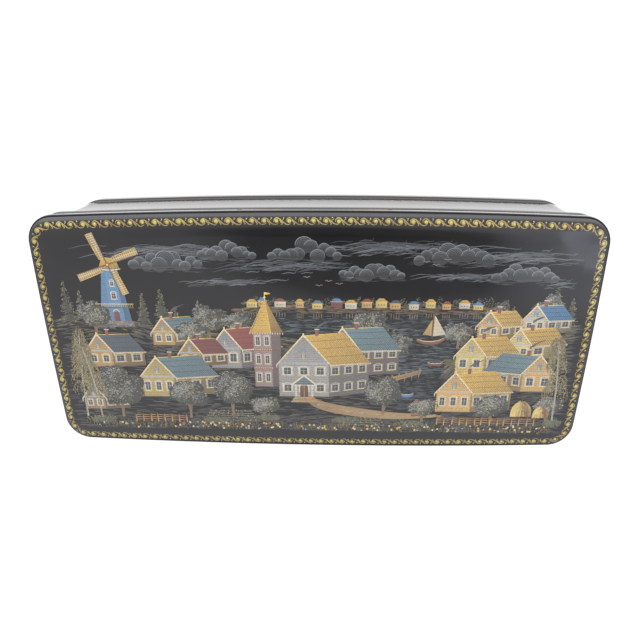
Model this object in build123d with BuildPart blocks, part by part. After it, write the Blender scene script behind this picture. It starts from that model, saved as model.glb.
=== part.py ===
from build123d import *
import os
from math import atan2, cos, degrees, radians, sin, sqrt

# Long lacquered papier-mache casket with a hinged lid, in millimetres.
# X runs along the box, +Y points at the hinge, +Z is up.
# The origin is the middle of the base's underside.

# Closed box, over the lid's rounded edge; the sides bow out a little between the corners
length = 240.0
width = 112.0
height = 50.0
corner_radius = 11.6
side_bow = 2.6
end_bow = 0.6

# Lid: a pressed board, flat in its field and rolling off to a round edge
lid_thickness = 6.4
field_inset = 10.0
roll_off_angle = 10.0
lid_top_round = 3.0
lid_under_bevel = 1.2
lid_gap = 0.2

# Lip: the frame under the lid that drops inside the walls
lip_depth = 5.0
lip_thickness = 3.4
lip_clearance = 0.4
lip_corner_radius = 3.0
lip_bevel = 0.6

# Walls: a wound tube with a rim roll over a hollow side
wall_thickness = 5.2
rim_inset = 0.2
rim_roll_height = 10.0
rim_roll_depth = 1.9
rim_crest_share = 0.55
wall_inset = 1.7
wall_hollow = 0.5
wall_hollow_share = 0.55
wall_foot_inset = 1.7

# Base: a board wider than the walls, whose rounded edge is the foot
foot_height = 6.0
foot_inset = 0.5
foot_corner_radius = 14.0
foot_top_round = 1.9
foot_under_bevel = 1.0
floor_step = 1.0
floor_clearance = 0.1

# Hinge: two leaves let into the rim and the lid, on one pin
hinge_length = 60.0
knuckle_count = 5
knuckle_radius = 1.3
knuckle_gap = 0.15
pin_radius = 0.6
pin_clearance = 0.05
pin_recess = 0.4
barrel_overhang = 0.3
leaf_thickness = 0.7
leaf_setback = 0.7
mortise_clearance = 0.1
barrel_clearance = 0.25

# Nails: countersunk brass pins through each leaf
nail_spacing = 20.0
nail_count = 3
nail_radius = 0.6
nail_head_radius = 1.1
nail_length = 4.2

# How far a cut runs past what it cuts
overrun = 2.0

# Levels, places and fits worked out from the sizes above
lid_under = height - lid_thickness
rim_top = lid_under - lid_gap
outer_y = width / 2
wall_inner_inset = wall_inset + wall_thickness
inner_y = outer_y - wall_inner_inset
rim_bottom = rim_top - rim_roll_height
rim_crest = rim_top - rim_roll_height * rim_crest_share
hollow_z = foot_height + (rim_bottom - foot_height) * wall_hollow_share

# The roll-off runs on from the field without a crease and into the lid's round edge
roll_off_radius = lid_top_round + (field_inset - lid_top_round) / sin(radians(roll_off_angle))
roll_off_fall = roll_off_radius * (1 - cos(radians(roll_off_angle)))
edge_round_z = height - roll_off_fall - lid_top_round * cos(radians(roll_off_angle))

# The bowed sides are arcs of large circles, with their centres on the plan's two middle lines
half_side = length / 2 - end_bow
half_end = outer_y - side_bow
side_radius = (half_side**2 + side_bow**2) / (2 * side_bow)
end_radius = (half_end**2 + end_bow**2) / (2 * end_bow)
side_centre = Vector(0, outer_y - side_radius)
end_centre = Vector(length / 2 - end_radius, 0)

axis_y = outer_y - barrel_overhang - knuckle_radius
axis_z = rim_top + lid_gap / 2
barrel_cut = knuckle_radius + barrel_clearance
leaf_inner_y = inner_y + leaf_setback
leaf_outer_y = axis_y - (knuckle_radius + pin_radius + pin_clearance) / 2
nail_y = (leaf_inner_y + axis_y - knuckle_radius) / 2
knuckle_pitch = hinge_length / knuckle_count
knuckle_width = knuckle_pitch - knuckle_gap
knuckle_places = [(n - (knuckle_count - 1) / 2) * knuckle_pitch for n in range(knuckle_count)]
body_knuckles = knuckle_places[0::2]
lid_knuckles = knuckle_places[1::2]
wall_nail_plane = Plane((0, nail_y, rim_top), x_dir=(1, 0, 0), z_dir=(0, 0, -1))
lid_nail_plane = Plane((0, nail_y, lid_under), x_dir=(1, 0, 0), z_dir=(0, 0, 1))

os.makedirs("parts", exist_ok=True)


def plan_arcs(inset, radius):
    """A quarter of the plan, drawn in by the inset, as three arcs that run on smoothly.

    Each is its centre, its radius, the angle where it starts and the angle that it turns.
    The round corner's centre lies where circles about the two large arcs' centres cross.
    """
    from_side = side_radius - inset - radius
    from_end = end_radius - inset - radius
    between = end_centre - side_centre
    along = (from_side**2 - from_end**2 + between.length**2) / (2 * between.length)
    across = sqrt(from_side**2 - along**2)
    line = between.normalized()
    centre = side_centre + line * along + Vector(line.Y, -line.X) * across
    side_end = degrees(atan2(centre.Y - side_centre.Y, centre.X))
    end_start = degrees(atan2(centre.Y, centre.X - end_centre.X))
    return [
        (side_centre, side_radius - inset, 90, side_end - 90),
        (centre, radius, side_end, end_start - side_end),
        (end_centre, end_radius - inset, end_start, -end_start),
    ]


def board(inset, bottom, thickness, radius, mode=Mode.ADD):
    """A flat board with round corners, drawn in from the lid's outline by the inset."""
    with BuildSketch(Plane.XY.offset(bottom)) as plan:
        with BuildLine():
            for centre, arc_radius, start, turn in plan_arcs(inset, radius):
                CenterArc(centre, arc_radius, start, turn)
            mirror(about=Plane.YZ)
            mirror(about=Plane.XZ)
        make_face()
    extrude(plan.sketch, amount=thickness, mode=mode)


def cylinders(middles, radius, long, mode=Mode.ADD):
    """Cylinders on the hinge axis, each centred on its place along X."""
    for middle in middles:
        with BuildSketch(Plane.YZ.offset(middle)) as circle:
            with Locations((axis_y, axis_z)):
                Circle(radius)
        extrude(circle.sketch, amount=long / 2, both=True, mode=mode)


def strip(from_y, to_y, bottom, thickness, long, mode=Mode.ADD):
    """A straight strip along X, centred, between two places in Y."""
    with BuildSketch(Plane.XY.offset(bottom)) as plan:
        with Locations((0, (from_y + to_y) / 2)):
            Rectangle(long, to_y - from_y)
    extrude(plan.sketch, amount=thickness, mode=mode)


def nails(head_plane, mode=Mode.ADD):
    """A row of nails, heads at the plane, points along its normal.

    A leaf is thin, so it is countersunk right through.
    """
    seat = (Align.CENTER, Align.CENTER, Align.MIN)
    with Locations(head_plane):
        with GridLocations(nail_spacing, nail_spacing, nail_count, 1):
            Cylinder(nail_radius, nail_length, align=seat, mode=mode)
            Cone(nail_head_radius, nail_radius, leaf_thickness, align=seat, mode=mode)


def hinge_seat(leaf_bottom, barrel_bottom):
    """The cut for one leaf and the open notch for the barrel."""
    long = hinge_length + mortise_clearance
    strip(
        leaf_inner_y - mortise_clearance,
        axis_y,
        leaf_bottom,
        leaf_thickness + overrun,
        long,
        mode=Mode.SUBTRACT,
    )
    strip(
        axis_y - barrel_cut,
        outer_y + overrun,
        barrel_bottom,
        barrel_cut + overrun,
        long,
        mode=Mode.SUBTRACT,
    )


def leaf(bottom, own, others, nail_plane):
    """One hinge leaf: its plate, its knuckles on the axis, and room for the other's."""
    strip(leaf_inner_y, leaf_outer_y, bottom, leaf_thickness, hinge_length - knuckle_gap)
    room = knuckle_width + 2 * knuckle_gap
    cylinders(others, knuckle_radius + knuckle_gap, room, mode=Mode.SUBTRACT)
    cylinders(own, knuckle_radius, knuckle_width)
    cylinders(own, pin_radius + pin_clearance, knuckle_width, mode=Mode.SUBTRACT)
    nails(nail_plane, mode=Mode.SUBTRACT)


def wall_section(plane):
    """The wall's moulded section: first axis outwards from the lid's outline, second axis up."""
    with BuildSketch(plane) as section:
        with BuildLine():
            Polyline(
                (-wall_foot_inset, foot_height),
                (-wall_inner_inset, foot_height),
                (-wall_inner_inset, rim_top),
                (-rim_inset - rim_roll_depth, rim_top),
            )
            ThreePointArc(
                (-rim_inset - rim_roll_depth, rim_top),
                (-rim_inset, rim_crest),
                (-wall_inset, rim_bottom),
            )
            ThreePointArc(
                (-wall_inset, rim_bottom),
                (-wall_inset - wall_hollow, hollow_z),
                (-wall_foot_inset, foot_height),
            )
        make_face()
    return section.sketch


def lid_edge_section(plane):
    """The lid's edge from the field outwards: roll-off, round, short land and under bevel."""
    with BuildSketch(plane) as section:
        with BuildLine():
            CenterArc((-field_inset, height - roll_off_radius), roll_off_radius, 90, -roll_off_angle)
            CenterArc((-lid_top_round, edge_round_z), lid_top_round, 0, 90 - roll_off_angle)
            Polyline(
                (0, edge_round_z),
                (0, lid_under + lid_under_bevel),
                (-lid_under_bevel, lid_under),
                (-field_inset, lid_under),
                (-field_inset, height),
            )
        make_face()
    return section.sketch


def carry(section):
    """A section carried once round the plan: along the three arcs of a quarter, mirrored twice."""
    for centre, arc_radius, start, turn in plan_arcs(0, corner_radius):
        outwards = Vector(cos(radians(start)), sin(radians(start)))
        crossing = Plane(
            centre + outwards * arc_radius, x_dir=outwards, z_dir=(outwards.Y, -outwards.X, 0)
        )
        revolve(section(crossing), axis=Axis(centre, (0, 0, 1)), revolution_arc=turn)
    mirror(about=Plane.YZ)
    mirror(about=Plane.XZ)


# Walls: one moulded tube, let in at the back for the hinge
with BuildPart() as body_wall:
    carry(wall_section)
    hinge_seat(rim_top - leaf_thickness, axis_z - barrel_cut)
    nails(wall_nail_plane, mode=Mode.SUBTRACT)
body_wall.part.label = "body_wall"
export_step(body_wall.part, "parts/body_wall.step")

# Base: its rounded edge is the foot, and its raised field drops inside the walls
with BuildPart() as base_board:
    board(foot_inset, 0, foot_height, foot_corner_radius)
    fillet(base_board.edges().group_by(Axis.Z)[-1], foot_top_round)
    chamfer(base_board.edges().group_by(Axis.Z)[0], foot_under_bevel)
    floor_inset = wall_inner_inset + floor_clearance
    board(floor_inset, foot_height, floor_step, corner_radius - floor_inset)
base_board.part.label = "base_board"
export_step(base_board.part, "parts/base_board.step")

# Lid: its edge carried round its flat field
with BuildPart() as lid_board:
    board(field_inset, lid_under, lid_thickness, corner_radius - field_inset)
    carry(lid_edge_section)
    hinge_seat(lid_under - overrun, axis_z - overrun)
    nails(lid_nail_plane, mode=Mode.SUBTRACT)
lid_board.part.label = "lid_board"
export_step(lid_board.part, "parts/lid_board.step")

# Lip: an open frame glued under the lid, clear of the walls all round
with BuildPart() as lid_lip:
    lip_inset = wall_inner_inset + lip_clearance
    board(lip_inset, lid_under - lip_depth, lip_depth, corner_radius - lip_inset)
    board(
        lip_inset + lip_thickness,
        lid_under - lip_depth,
        lip_depth,
        lip_corner_radius,
        mode=Mode.SUBTRACT,
    )
    chamfer(lid_lip.edges().group_by(Axis.Z)[0], lip_bevel)
lid_lip.part.label = "lid_lip"
export_step(lid_lip.part, "parts/lid_lip.step")

# Hinge leaves, one let into the rim and one into the lid
with BuildPart() as wall_leaf:
    leaf(rim_top - leaf_thickness, body_knuckles, lid_knuckles, wall_nail_plane)
wall_leaf.part.label = "wall_leaf"
export_step(wall_leaf.part, "parts/wall_leaf.step")

with BuildPart() as lid_leaf:
    leaf(lid_under, lid_knuckles, body_knuckles, lid_nail_plane)
lid_leaf.part.label = "lid_leaf"
export_step(lid_leaf.part, "parts/lid_leaf.step")

# Hinge pin, sunk a little at both ends of the barrel
with BuildPart() as hinge_pin:
    cylinders([0], pin_radius, hinge_length - knuckle_gap - 2 * pin_recess)
hinge_pin.part.label = "hinge_pin"
export_step(hinge_pin.part, "parts/hinge_pin.step")

# Nails, one row into the wall's edge and one up into the lid
with BuildPart() as wall_nails:
    nails(wall_nail_plane)
wall_nails.part.label = "wall_nails"
export_step(wall_nails.part, "parts/wall_nails.step")

with BuildPart() as lid_nails:
    nails(lid_nail_plane)
lid_nails.part.label = "lid_nails"
export_step(lid_nails.part, "parts/lid_nails.step")
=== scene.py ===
from math import cos, pi, radians, sin

import bpy
import numpy as np
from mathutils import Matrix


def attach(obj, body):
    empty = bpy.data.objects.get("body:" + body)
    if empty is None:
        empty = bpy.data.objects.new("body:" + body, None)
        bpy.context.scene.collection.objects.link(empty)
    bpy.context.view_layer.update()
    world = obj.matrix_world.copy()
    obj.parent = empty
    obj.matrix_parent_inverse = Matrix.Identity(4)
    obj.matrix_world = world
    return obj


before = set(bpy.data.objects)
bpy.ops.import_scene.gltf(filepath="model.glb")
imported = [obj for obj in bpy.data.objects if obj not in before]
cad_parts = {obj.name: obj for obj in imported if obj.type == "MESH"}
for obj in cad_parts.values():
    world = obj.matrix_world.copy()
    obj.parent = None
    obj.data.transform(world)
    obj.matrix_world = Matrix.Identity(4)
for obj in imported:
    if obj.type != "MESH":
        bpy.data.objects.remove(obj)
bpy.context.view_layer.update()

# A long lacquered papier-mache box. Sizes are in millimetres here and become metres in each mesh.
# X runs along the box, +Y points at the hinge, +Z is up, and the box stands on z = 0.
MM = 0.001
rng = np.random.default_rng(17)

# Outline of the lid, seen from above: long and short sides that bow out, and round corners
length = 240.0
width = 112.0
height = 50.0
corner_radius = 11.6
side_bow = 2.6
end_bow = 0.6

# The lid is flat in its field, rolls off towards its edge and ends in a small round over a bevel
field_inset = 10.0
roll_off_radius = 43.3
roll_off_turn = radians(10.0)
lid_round = 3.0

# Top of the walls' rim, and the floor inside
rim_level = 43.4
floor_level = 7.0

# Distances round the walls run along the plan at this inset, that of the hollow's ends
wall_inset = 1.7

# The lacquer coats lie this far outside the walls and the lid's edge, whose own facets are long
coat_depth = 0.06
lid_coat_depth = 0.03
coat_columns = 721

# The coats are open round the hinge's barrel
barrel_half = 31.0
barrel_low = 41.5
barrel_high = 45.6

# Scroll border: a running scroll of gold S-strokes and berries, nearly 5 mm to a repeat
border_inset = 3.8
border_pitch = 4.95

# Vine low on the walls, a hair over the coat
vine_pitch = 4.6
vine_lift = 0.04
vine_columns = 361

# Camera, worked out from the lid's, the rim's and the foot's outlines in the photograph
camera_place = (9.729, 93.517, 259.094)
camera_turn = (-21.8398, 1.9402, -0.2201)
camera_lens = 29.51

# Plan of the lid's edge: a side, a corner and an end, as arcs with their centres on the middle lines
half_side = length / 2 - end_bow
half_end = width / 2 - side_bow
side_radius = (half_side**2 + side_bow**2) / (2 * side_bow)
end_radius = (half_end**2 + end_bow**2) / (2 * end_bow)
side_centre = np.array([0.0, width / 2 - side_radius])
end_centre = np.array([length / 2 - end_radius, 0.0])


def corner_centre():
    """Where circles about the two large centres, drawn in by the corner's radius, cross."""
    from_side = side_radius - corner_radius
    from_end = end_radius - corner_radius
    between = end_centre - side_centre
    apart = np.hypot(*between)
    along = (from_side**2 - from_end**2 + apart**2) / (2 * apart)
    across = np.sqrt(from_side**2 - along**2)
    line = between / apart
    return side_centre + line * along + np.array([line[1], -line[0]]) * across


corner = corner_centre()
side_end = np.arctan2(corner[1] - side_centre[1], corner[0] - side_centre[0])
end_start = np.arctan2(corner[1] - end_centre[1], corner[0] - end_centre[0])


def plan(inset):
    """The plan's twelve arcs, clockwise from the middle of the back: centre, radius, start, turn.

    A quarter is the side's, the corner's and the end's arc. The other quarters mirror it.
    """
    quarter = [
        (side_centre, side_radius - inset, pi / 2, side_end - pi / 2),
        (corner, corner_radius - inset, side_end, end_start - side_end),
        (end_centre, end_radius - inset, end_start, -end_start),
    ]
    arcs = []
    for flip_x, flip_y in ((1, 1), (1, -1), (-1, -1), (-1, 1)):
        run = []
        for centre, radius, start, turn in quarter:
            begin = start * flip_y if flip_x > 0 else pi - start * flip_y
            run.append((centre * (flip_x, flip_y), radius, begin, turn * flip_x * flip_y))
        if flip_x * flip_y < 0:
            run = [(c, r, b + s, -s) for c, r, b, s in reversed(run)]
        arcs += run
    return arcs


def around(places, inset):
    """Points and outward normals at distances along the plan drawn in by the inset.

    Each distance falls on one arc: point = centre + radius (cos a, sin a), normal = (cos a, sin a).
    """
    centres, radii, starts, turns = (np.array(part) for part in zip(*plan(inset)))
    runs = np.abs(turns) * radii
    ends = np.cumsum(runs)
    places = np.mod(places, ends[-1])
    which = np.searchsorted(ends, places, side="right").clip(max=len(runs) - 1)
    angles = starts[which] + turns[which] * (places - (ends - runs)[which]) / runs[which]
    normals = at(np.cos(angles), np.sin(angles))
    return centres[which] + radii[which][..., None] * normals, normals


def girth(inset):
    """Length of the closed plan curve at an inset."""
    return sum(abs(turn) * radius for _, radius, _, turn in plan(inset))


def lid_top(x, y):
    """Height of the lid's top: flat in the field, then an arc that falls with the distance past it."""
    x, y = np.abs(x), np.abs(y)
    from_side = side_radius - np.hypot(x - side_centre[0], y - side_centre[1])
    from_end = end_radius - np.hypot(x - end_centre[0], y - end_centre[1])
    at_corner = corner_radius - np.hypot(x - corner[0], y - corner[1])
    inset = np.where((x > corner[0]) & (y > corner[1]), at_corner, np.minimum(from_side, from_end))
    past = np.clip(field_inset - inset, 0, field_inset)
    return height - roll_off_radius + np.sqrt(roll_off_radius**2 - past**2)


def at(x, y):
    """Points from their coordinates, either of which can be one number for them all."""
    return np.stack(np.broadcast_arrays(x, y), -1)


def middles(count):
    """Middles of the equal parts of a run, as shares of it."""
    return (np.arange(count) + 0.5) / count


def mixed(first, second, share):
    """Pigments, or points, between two, at shares of the second."""
    share = np.reshape(share, (-1, 1))
    return np.asarray(first) * (1 - share) + np.asarray(second) * share


def linear(colour):
    """An sRGB hex colour as linear red, green and blue."""
    levels = np.array([int(colour[i : i + 2], 16) for i in (1, 3, 5)]) / 255
    return np.where(levels <= 0.04045, levels / 12.92, ((levels + 0.055) / 1.055) ** 2.4)


def add_node(tree, kind, inputs=(), output=0, stops=(), **settings):
    """Adds one shader node with its settings and links, and gives the output that is asked for.

    Inputs are values or links, in order or by their sockets. A ramp also takes its stops, each a
    place and a colour. Where no output is asked for, all of them come back.
    """
    made = tree.nodes.new("ShaderNode" + kind)
    for name, value in settings.items():
        setattr(made, name, value)
    sockets = inputs if isinstance(inputs, dict) else dict(enumerate(inputs))
    for socket, value in sockets.items():
        if isinstance(value, bpy.types.NodeSocket):
            tree.links.new(value, made.inputs[socket])
        else:
            made.inputs[socket].default_value = value
    if stops:
        elements = made.color_ramp.elements
        for _ in range(len(stops) - len(elements)):
            elements.new(0.5)
        for element, (place, colour) in zip(elements, stops):
            element.position = place
            element.color = (*colour, 1.0)
    return made.outputs if output is None else made.outputs[output]


def two_stops(hues, low=0.3, high=0.7):
    """Stops of a ramp that runs from one sRGB hex hue to another."""
    return [(low, linear(hues[0])), (high, linear(hues[1]))]


def new_material(name):
    """An empty node material, and its tree."""
    material = bpy.data.materials.new(name)
    material.use_nodes = True
    material.node_tree.nodes.clear()
    return material, material.node_tree


def polish(tree):
    """Surface normal of hand-rubbed lacquer: long low waves and, far finer, the rubbing's orange peel."""
    place = add_node(tree, "TexCoord", output="Object")
    # Waves of 25 mm and orange peel of 3 mm
    wave = add_node(tree, "TexNoise", {"Vector": place, "Scale": 40.0, "Detail": 2.0}, "Fac")
    peel = add_node(tree, "TexNoise", {"Vector": place, "Scale": 330.0, "Detail": 1.0}, "Fac")
    low_peel = add_node(tree, "Math", (peel, 0.02), operation="MULTIPLY")
    level = add_node(tree, "Math", (wave, low_peel), operation="ADD")
    return add_node(tree, "Bump", {"Height": level, "Distance": 0.004 * MM, "Strength": 1.0}, "Normal")


def inset_of(tree, place):
    """Distance in metres inside the lid's outline, from the two large arcs of the plan.

    Each is the arc's radius less the distance from its centre, for the point folded into one quarter.
    """
    folded = add_node(tree, "VectorMath", (place,), operation="ABSOLUTE")
    flat = add_node(tree, "VectorMath", (folded, (1.0, 1.0, 0.0)), operation="MULTIPLY")
    insets = []
    for centre, radius in ((side_centre, side_radius), (end_centre, end_radius)):
        away = add_node(tree, "VectorMath", (flat, (*centre * MM, 0.0)), "Value", operation="DISTANCE")
        insets.append(add_node(tree, "Math", (radius * MM, away), operation="SUBTRACT"))
    return add_node(tree, "Math", insets, operation="MINIMUM")


def lacquer(name, hues, lining=None):
    """Oil lacquer over papier-mache: many coats, rubbed and polished to a deep gloss.

    Where a lining is given, it is red lacquer inside an inset of the plan and between two heights.
    """
    material, tree = new_material(name)
    place = add_node(tree, "TexCoord", output="Object")
    # The colour clouds over about 17 mm
    cloud = add_node(tree, "TexNoise", {"Vector": place, "Scale": 60.0, "Detail": 4.0}, "Fac")
    colour = add_node(tree, "ValToRGB", {"Fac": cloud}, "Color", two_stops(hues))
    if lining:
        inset, low, high = lining
        red = add_node(tree, "ValToRGB", {"Fac": cloud}, "Color", two_stops(REDS))
        # The brush's edge wanders by a few tenths of a millimetre
        hand = add_node(tree, "TexNoise", {"Vector": place, "Scale": 300.0, "Detail": 1.0}, "Fac")
        wander = add_node(tree, "Math", (hand, 0.5 * MM), operation="MULTIPLY")
        edge = add_node(tree, "Math", (wander, inset * MM), operation="ADD")
        inside = add_node(tree, "Math", (inset_of(tree, place), edge), operation="GREATER_THAN")
        level = add_node(tree, "SeparateXYZ", {"Vector": place}, "Z")
        above = add_node(tree, "Math", (level, low * MM), operation="GREATER_THAN")
        below = add_node(tree, "Math", (level, high * MM), operation="LESS_THAN")
        within = add_node(tree, "Math", (above, below), operation="MULTIPLY")
        lined = add_node(tree, "Math", (inside, within), operation="MULTIPLY")
        colour = add_node(tree, "Mix", {0: lined, 6: colour, 7: red}, 2, data_type="RGBA")
    # The rubbing leaves cloudy patches of about 4 mm, drawn out along the box
    own = add_node(tree, "TexCoord", output="Object")
    drawn = add_node(tree, "Mapping", {"Vector": own, "Scale": (0.25, 1.0, 1.0)})
    streaks = add_node(tree, "TexNoise", {"Vector": drawn, "Scale": 260.0, "Detail": 6.0}, "Fac")
    reach = {"From Min": 0.3, "From Max": 0.7, "To Min": 0.03, "To Max": 0.09}
    rubbed = add_node(tree, "MapRange", {"Value": streaks, **reach}, "Result")
    finish = {"Base Color": colour, "Roughness": rubbed, "IOR": 1.5, "Normal": polish(tree)}
    shader = add_node(tree, "BsdfPrincipled", finish)
    add_node(tree, "OutputMaterial", {"Surface": shader}, None)
    return material


def brass():
    """Drawn and cut brass, handled: fine lines along the box and a thin brown tarnish in patches."""
    material, tree = new_material("drawn_brass")
    place = add_node(tree, "TexCoord", output="Object")
    # Draw lines 0.15 mm apart, stretched along the box, and patches of about 4 mm
    drawn = add_node(tree, "Mapping", {"Vector": place, "Scale": (0.05, 1.0, 1.0)})
    lines = add_node(tree, "TexNoise", {"Vector": drawn, "Scale": 6500.0, "Detail": 3.0}, "Fac")
    patch = add_node(tree, "TexNoise", {"Vector": place, "Scale": 250.0, "Detail": 5.0}, "Fac")
    hues = two_stops(("#A9803F", "#DDB765"), 0.35, 0.6)
    reach = {"From Min": 0.3, "From Max": 0.7, "To Min": 0.2, "To Max": 0.38}
    relief = {"Height": lines, "Distance": 0.01 * MM, "Strength": 1.0}
    finish = {
        "Base Color": add_node(tree, "ValToRGB", {"Fac": patch}, "Color", hues),
        "Metallic": 1.0,
        "Roughness": add_node(tree, "MapRange", {"Value": lines, **reach}, "Result"),
        "Normal": add_node(tree, "Bump", relief, "Normal"),
    }
    shader = add_node(tree, "BsdfPrincipled", finish)
    add_node(tree, "OutputMaterial", {"Surface": shader}, None)
    return material


def paint(name, metallic, roughness, grain_size, grains):
    """Brushed paint under the last clear coats: pigment grains, and the lacquer's gloss over them."""
    material, tree = new_material(name)
    pigment = add_node(tree, "Attribute", output="Color", attribute_name="pigment")
    place = add_node(tree, "TexCoord", output="Object")
    grain = {"Vector": place, "Scale": 1 / (grain_size * MM), "Detail": 2.0}
    grain = add_node(tree, "TexNoise", grain, "Fac")
    thin = add_node(tree, "ValToRGB", {"Fac": grain}, "Color", two_stops(grains, 0.35, 0.6))
    sockets = {0: 1.0, 6: pigment, 7: thin}
    finish = {
        "Base Color": add_node(tree, "Mix", sockets, 2, data_type="RGBA", blend_type="MULTIPLY"),
        "Metallic": metallic,
        "Roughness": roughness,
        "Coat Weight": 1.0,
        "Coat Roughness": 0.05,
        "Coat IOR": 1.5,
        "Coat Normal": polish(tree),
    }
    shader = add_node(tree, "BsdfPrincipled", finish)
    add_node(tree, "OutputMaterial", {"Surface": shader}, None)
    return material


BLACKS = ("#100F10", "#151413")
REDS = ("#8E1A12", "#A32218")
black = lacquer("black_lacquer_on_papier_mache", BLACKS)
hinge_brass = brass()
tempera = paint("egg_tempera_under_lacquer", 0.0, 0.55, 0.35, ("#8D8883", "#B3B2AF"))
gold = paint("powdered_gold_under_lacquer", 0.6, 0.42, 0.3, ("#A7987E", "#E7E7E7"))

finishes = {
    "body_wall": lacquer("black_lacquer_lined_red", BLACKS, (6.4, floor_level - 1.5, height)),
    "base_board": lacquer("black_base_lined_red", BLACKS, (6.4, floor_level - 0.5, height)),
    "lid_board": lacquer("black_lid_lined_red", BLACKS, (5.0, rim_level - 1.0, rim_level + 0.9)),
    "lid_lip": lacquer("red_lacquer_on_papier_mache", REDS),
    **dict.fromkeys(("wall_leaf", "lid_leaf", "hinge_pin", "wall_nails", "lid_nails"), hinge_brass),
}
for name, finish in finishes.items():
    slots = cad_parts[name].data.materials
    slots.clear()
    slots.append(finish)

# A heap of crossing strokes climbs by this much, in millimetres, and any other set by a fifth of it
HEAP = 0.0015


class Brushwork:
    """One piece of painting: grids of points that lie on the lid, each a hair higher than the last.

    A grid has rows and columns of points and a pigment at each. Its height over the lid is the
    piece's own level plus a step for every grid before it, so that later strokes cover earlier ones.
    """

    def __init__(self, level=0.0):
        """Starts a piece with nothing on it, at a level over the lid."""
        self.level = level
        self.points, self.pigments, self.faces, self.gilded = [], [], [], []
        self.count = 0

    def add(self, points, pigment, outward=False, gilded=False):
        """Adds grids of points in space, shaped (grids, rows, columns, 3), with a pigment for each."""
        spots = self.count + np.arange(points[..., 0].size).reshape(points.shape[:-1])
        faces = quads(spots, outward)
        self.points.append(points.reshape(-1, 3))
        self.pigments.append(np.broadcast_to(pigment, points.shape).reshape(-1, 3))
        self.faces.append(faces)
        self.gilded.append(np.full(len(faces), int(gilded)))
        self.count += spots.size

    def lay(self, flat, pigment, step=HEAP / 5, dome=0.0, gilded=False):
        """Adds grids of flat points, shaped (grids, rows, columns, 2), on the lid.

        Height = lid's top + level + dome, where the level climbs by the step across these grids.
        """
        flat = np.asarray(flat, float)
        climb = self.level + step * (1 + np.arange(len(flat))) / len(flat)
        z = lid_top(flat[..., 0], flat[..., 1]) + climb[:, None, None] + dome
        self.level += step
        self.add(np.concatenate([flat, z[..., None]], -1), pigment, gilded=gilded)

    def fill(self, corners, colours, rows=2, columns=2, gilded=False):
        """Four-cornered patches (patches, 4, 2), from lower left round to upper left.

        A point is the corners blended by its share along and its share up, and so is its pigment.
        """
        corners = np.asarray(corners, float).reshape(-1, 4, 2)
        colours = np.broadcast_to(np.asarray(colours, float), (len(corners), 4, 3))
        up, along = np.meshgrid(np.linspace(0, 1, rows), np.linspace(0, 1, columns), indexing="ij")
        weights = np.stack([(1 - along) * (1 - up), along * (1 - up), along * up, (1 - along) * up], -1)
        flat = np.einsum("rcw,gwk->grck", weights, corners)
        self.lay(flat, np.einsum("rcw,gwk->grck", weights, colours), gilded=gilded)

    def strokes(self, paths, widths, start, end=None, count=8, thin=0.3, **laid):
        """Strokes along smooth curves through knots (strokes, K, 2), each running from colour to colour."""
        strip = ribbons(smooth_path(paths, count), widths, thin)
        t = np.linspace(0, 1, count)[None, None, :, None]
        start, end = (np.reshape(colour, (-1, 1, 1, 3)) for colour in (start, start if end is None else end))
        self.lay(strip, start * (1 - t) + end * t, **laid)

    def lines(self, starts, ends, widths, colour, end=None, bend=0.0, thin=0.5, **laid):
        """Single strokes from starts to ends, bowed to their left by the bend, a share of their length."""
        starts, ends = np.atleast_2d(starts).astype(float), np.atleast_2d(ends).astype(float)
        run = ends - starts
        aside = at(-run[:, 1], run[:, 0]) * np.reshape(bend, (-1, 1))
        paths = np.stack([starts, starts + run / 2 + aside, ends], 1)
        self.strokes(paths, widths, colour, end, 7 if np.any(bend) else 3, thin, **laid)

    def dabs(self, centres, radii, colours, aspect=1.0, turn=0.0, size=3, **laid):
        """Round or oval dabs."""
        grids = discs(centres, radii, aspect, turn, size)
        self.lay(grids, np.reshape(colours, (-1, 1, 1, 3)), **laid)

    def piece(self, name, materials=None, body="lid"):
        """Makes the mesh. On the lid its faces are turned up."""
        parts = (np.concatenate(part) for part in (self.points, self.faces, self.pigments, self.gilded))
        points, faces, pigments, gilded = parts
        mesh_piece(name, points, faces, materials or [tempera, gold], body, pigments, gilded, body == "lid")


def quads(spots, outward=False):
    """Faces between neighbouring points of grids of point numbers, wound one way or the other."""
    low, high = (spots[..., :-1, :-1], spots[..., :-1, 1:]), (spots[..., 1:, :-1], spots[..., 1:, 1:])
    ring = (low[0], high[0], high[1], low[1]) if outward else (low[0], low[1], high[1], high[0])
    return np.stack(ring, -1).reshape(-1, 4)


def mesh_piece(name, points, faces, materials, body, pigments=None, slots=None, upward=False):
    """A piece of four-sided faces from points in millimetres, riding on a body.

    Where it should look upward, a face whose normal points down is turned round.
    """
    if upward:
        spans = points[faces[:, 2]] - points[faces[:, 0]], points[faces[:, 3]] - points[faces[:, 1]]
        down = np.cross(*spans)[:, 2] < 0
        faces[down] = faces[down][:, ::-1]
    mesh = bpy.data.meshes.new(name)
    mesh.vertices.add(len(points))
    mesh.vertices.foreach_set("co", (points * MM).ravel())
    mesh.loops.add(faces.size)
    mesh.loops.foreach_set("vertex_index", faces.ravel().astype(np.int32))
    mesh.polygons.add(len(faces))
    mesh.polygons.foreach_set("loop_start", np.arange(0, faces.size, 4, dtype=np.int32))
    mesh.polygons.foreach_set("use_smooth", np.ones(len(faces), bool))
    if slots is not None:
        mesh.polygons.foreach_set("material_index", slots.astype(np.int32))
    mesh.update(calc_edges=True)
    mesh.validate()
    if pigments is not None:
        layer = mesh.attributes.new("pigment", "FLOAT_COLOR", "POINT")
        layer.data.foreach_set("color", np.column_stack([pigments, np.ones(len(pigments))]).ravel())
    for material in materials:
        mesh.materials.append(material)
    made = bpy.data.objects.new(name, mesh)
    bpy.context.scene.collection.objects.link(made)
    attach(made, body)


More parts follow.
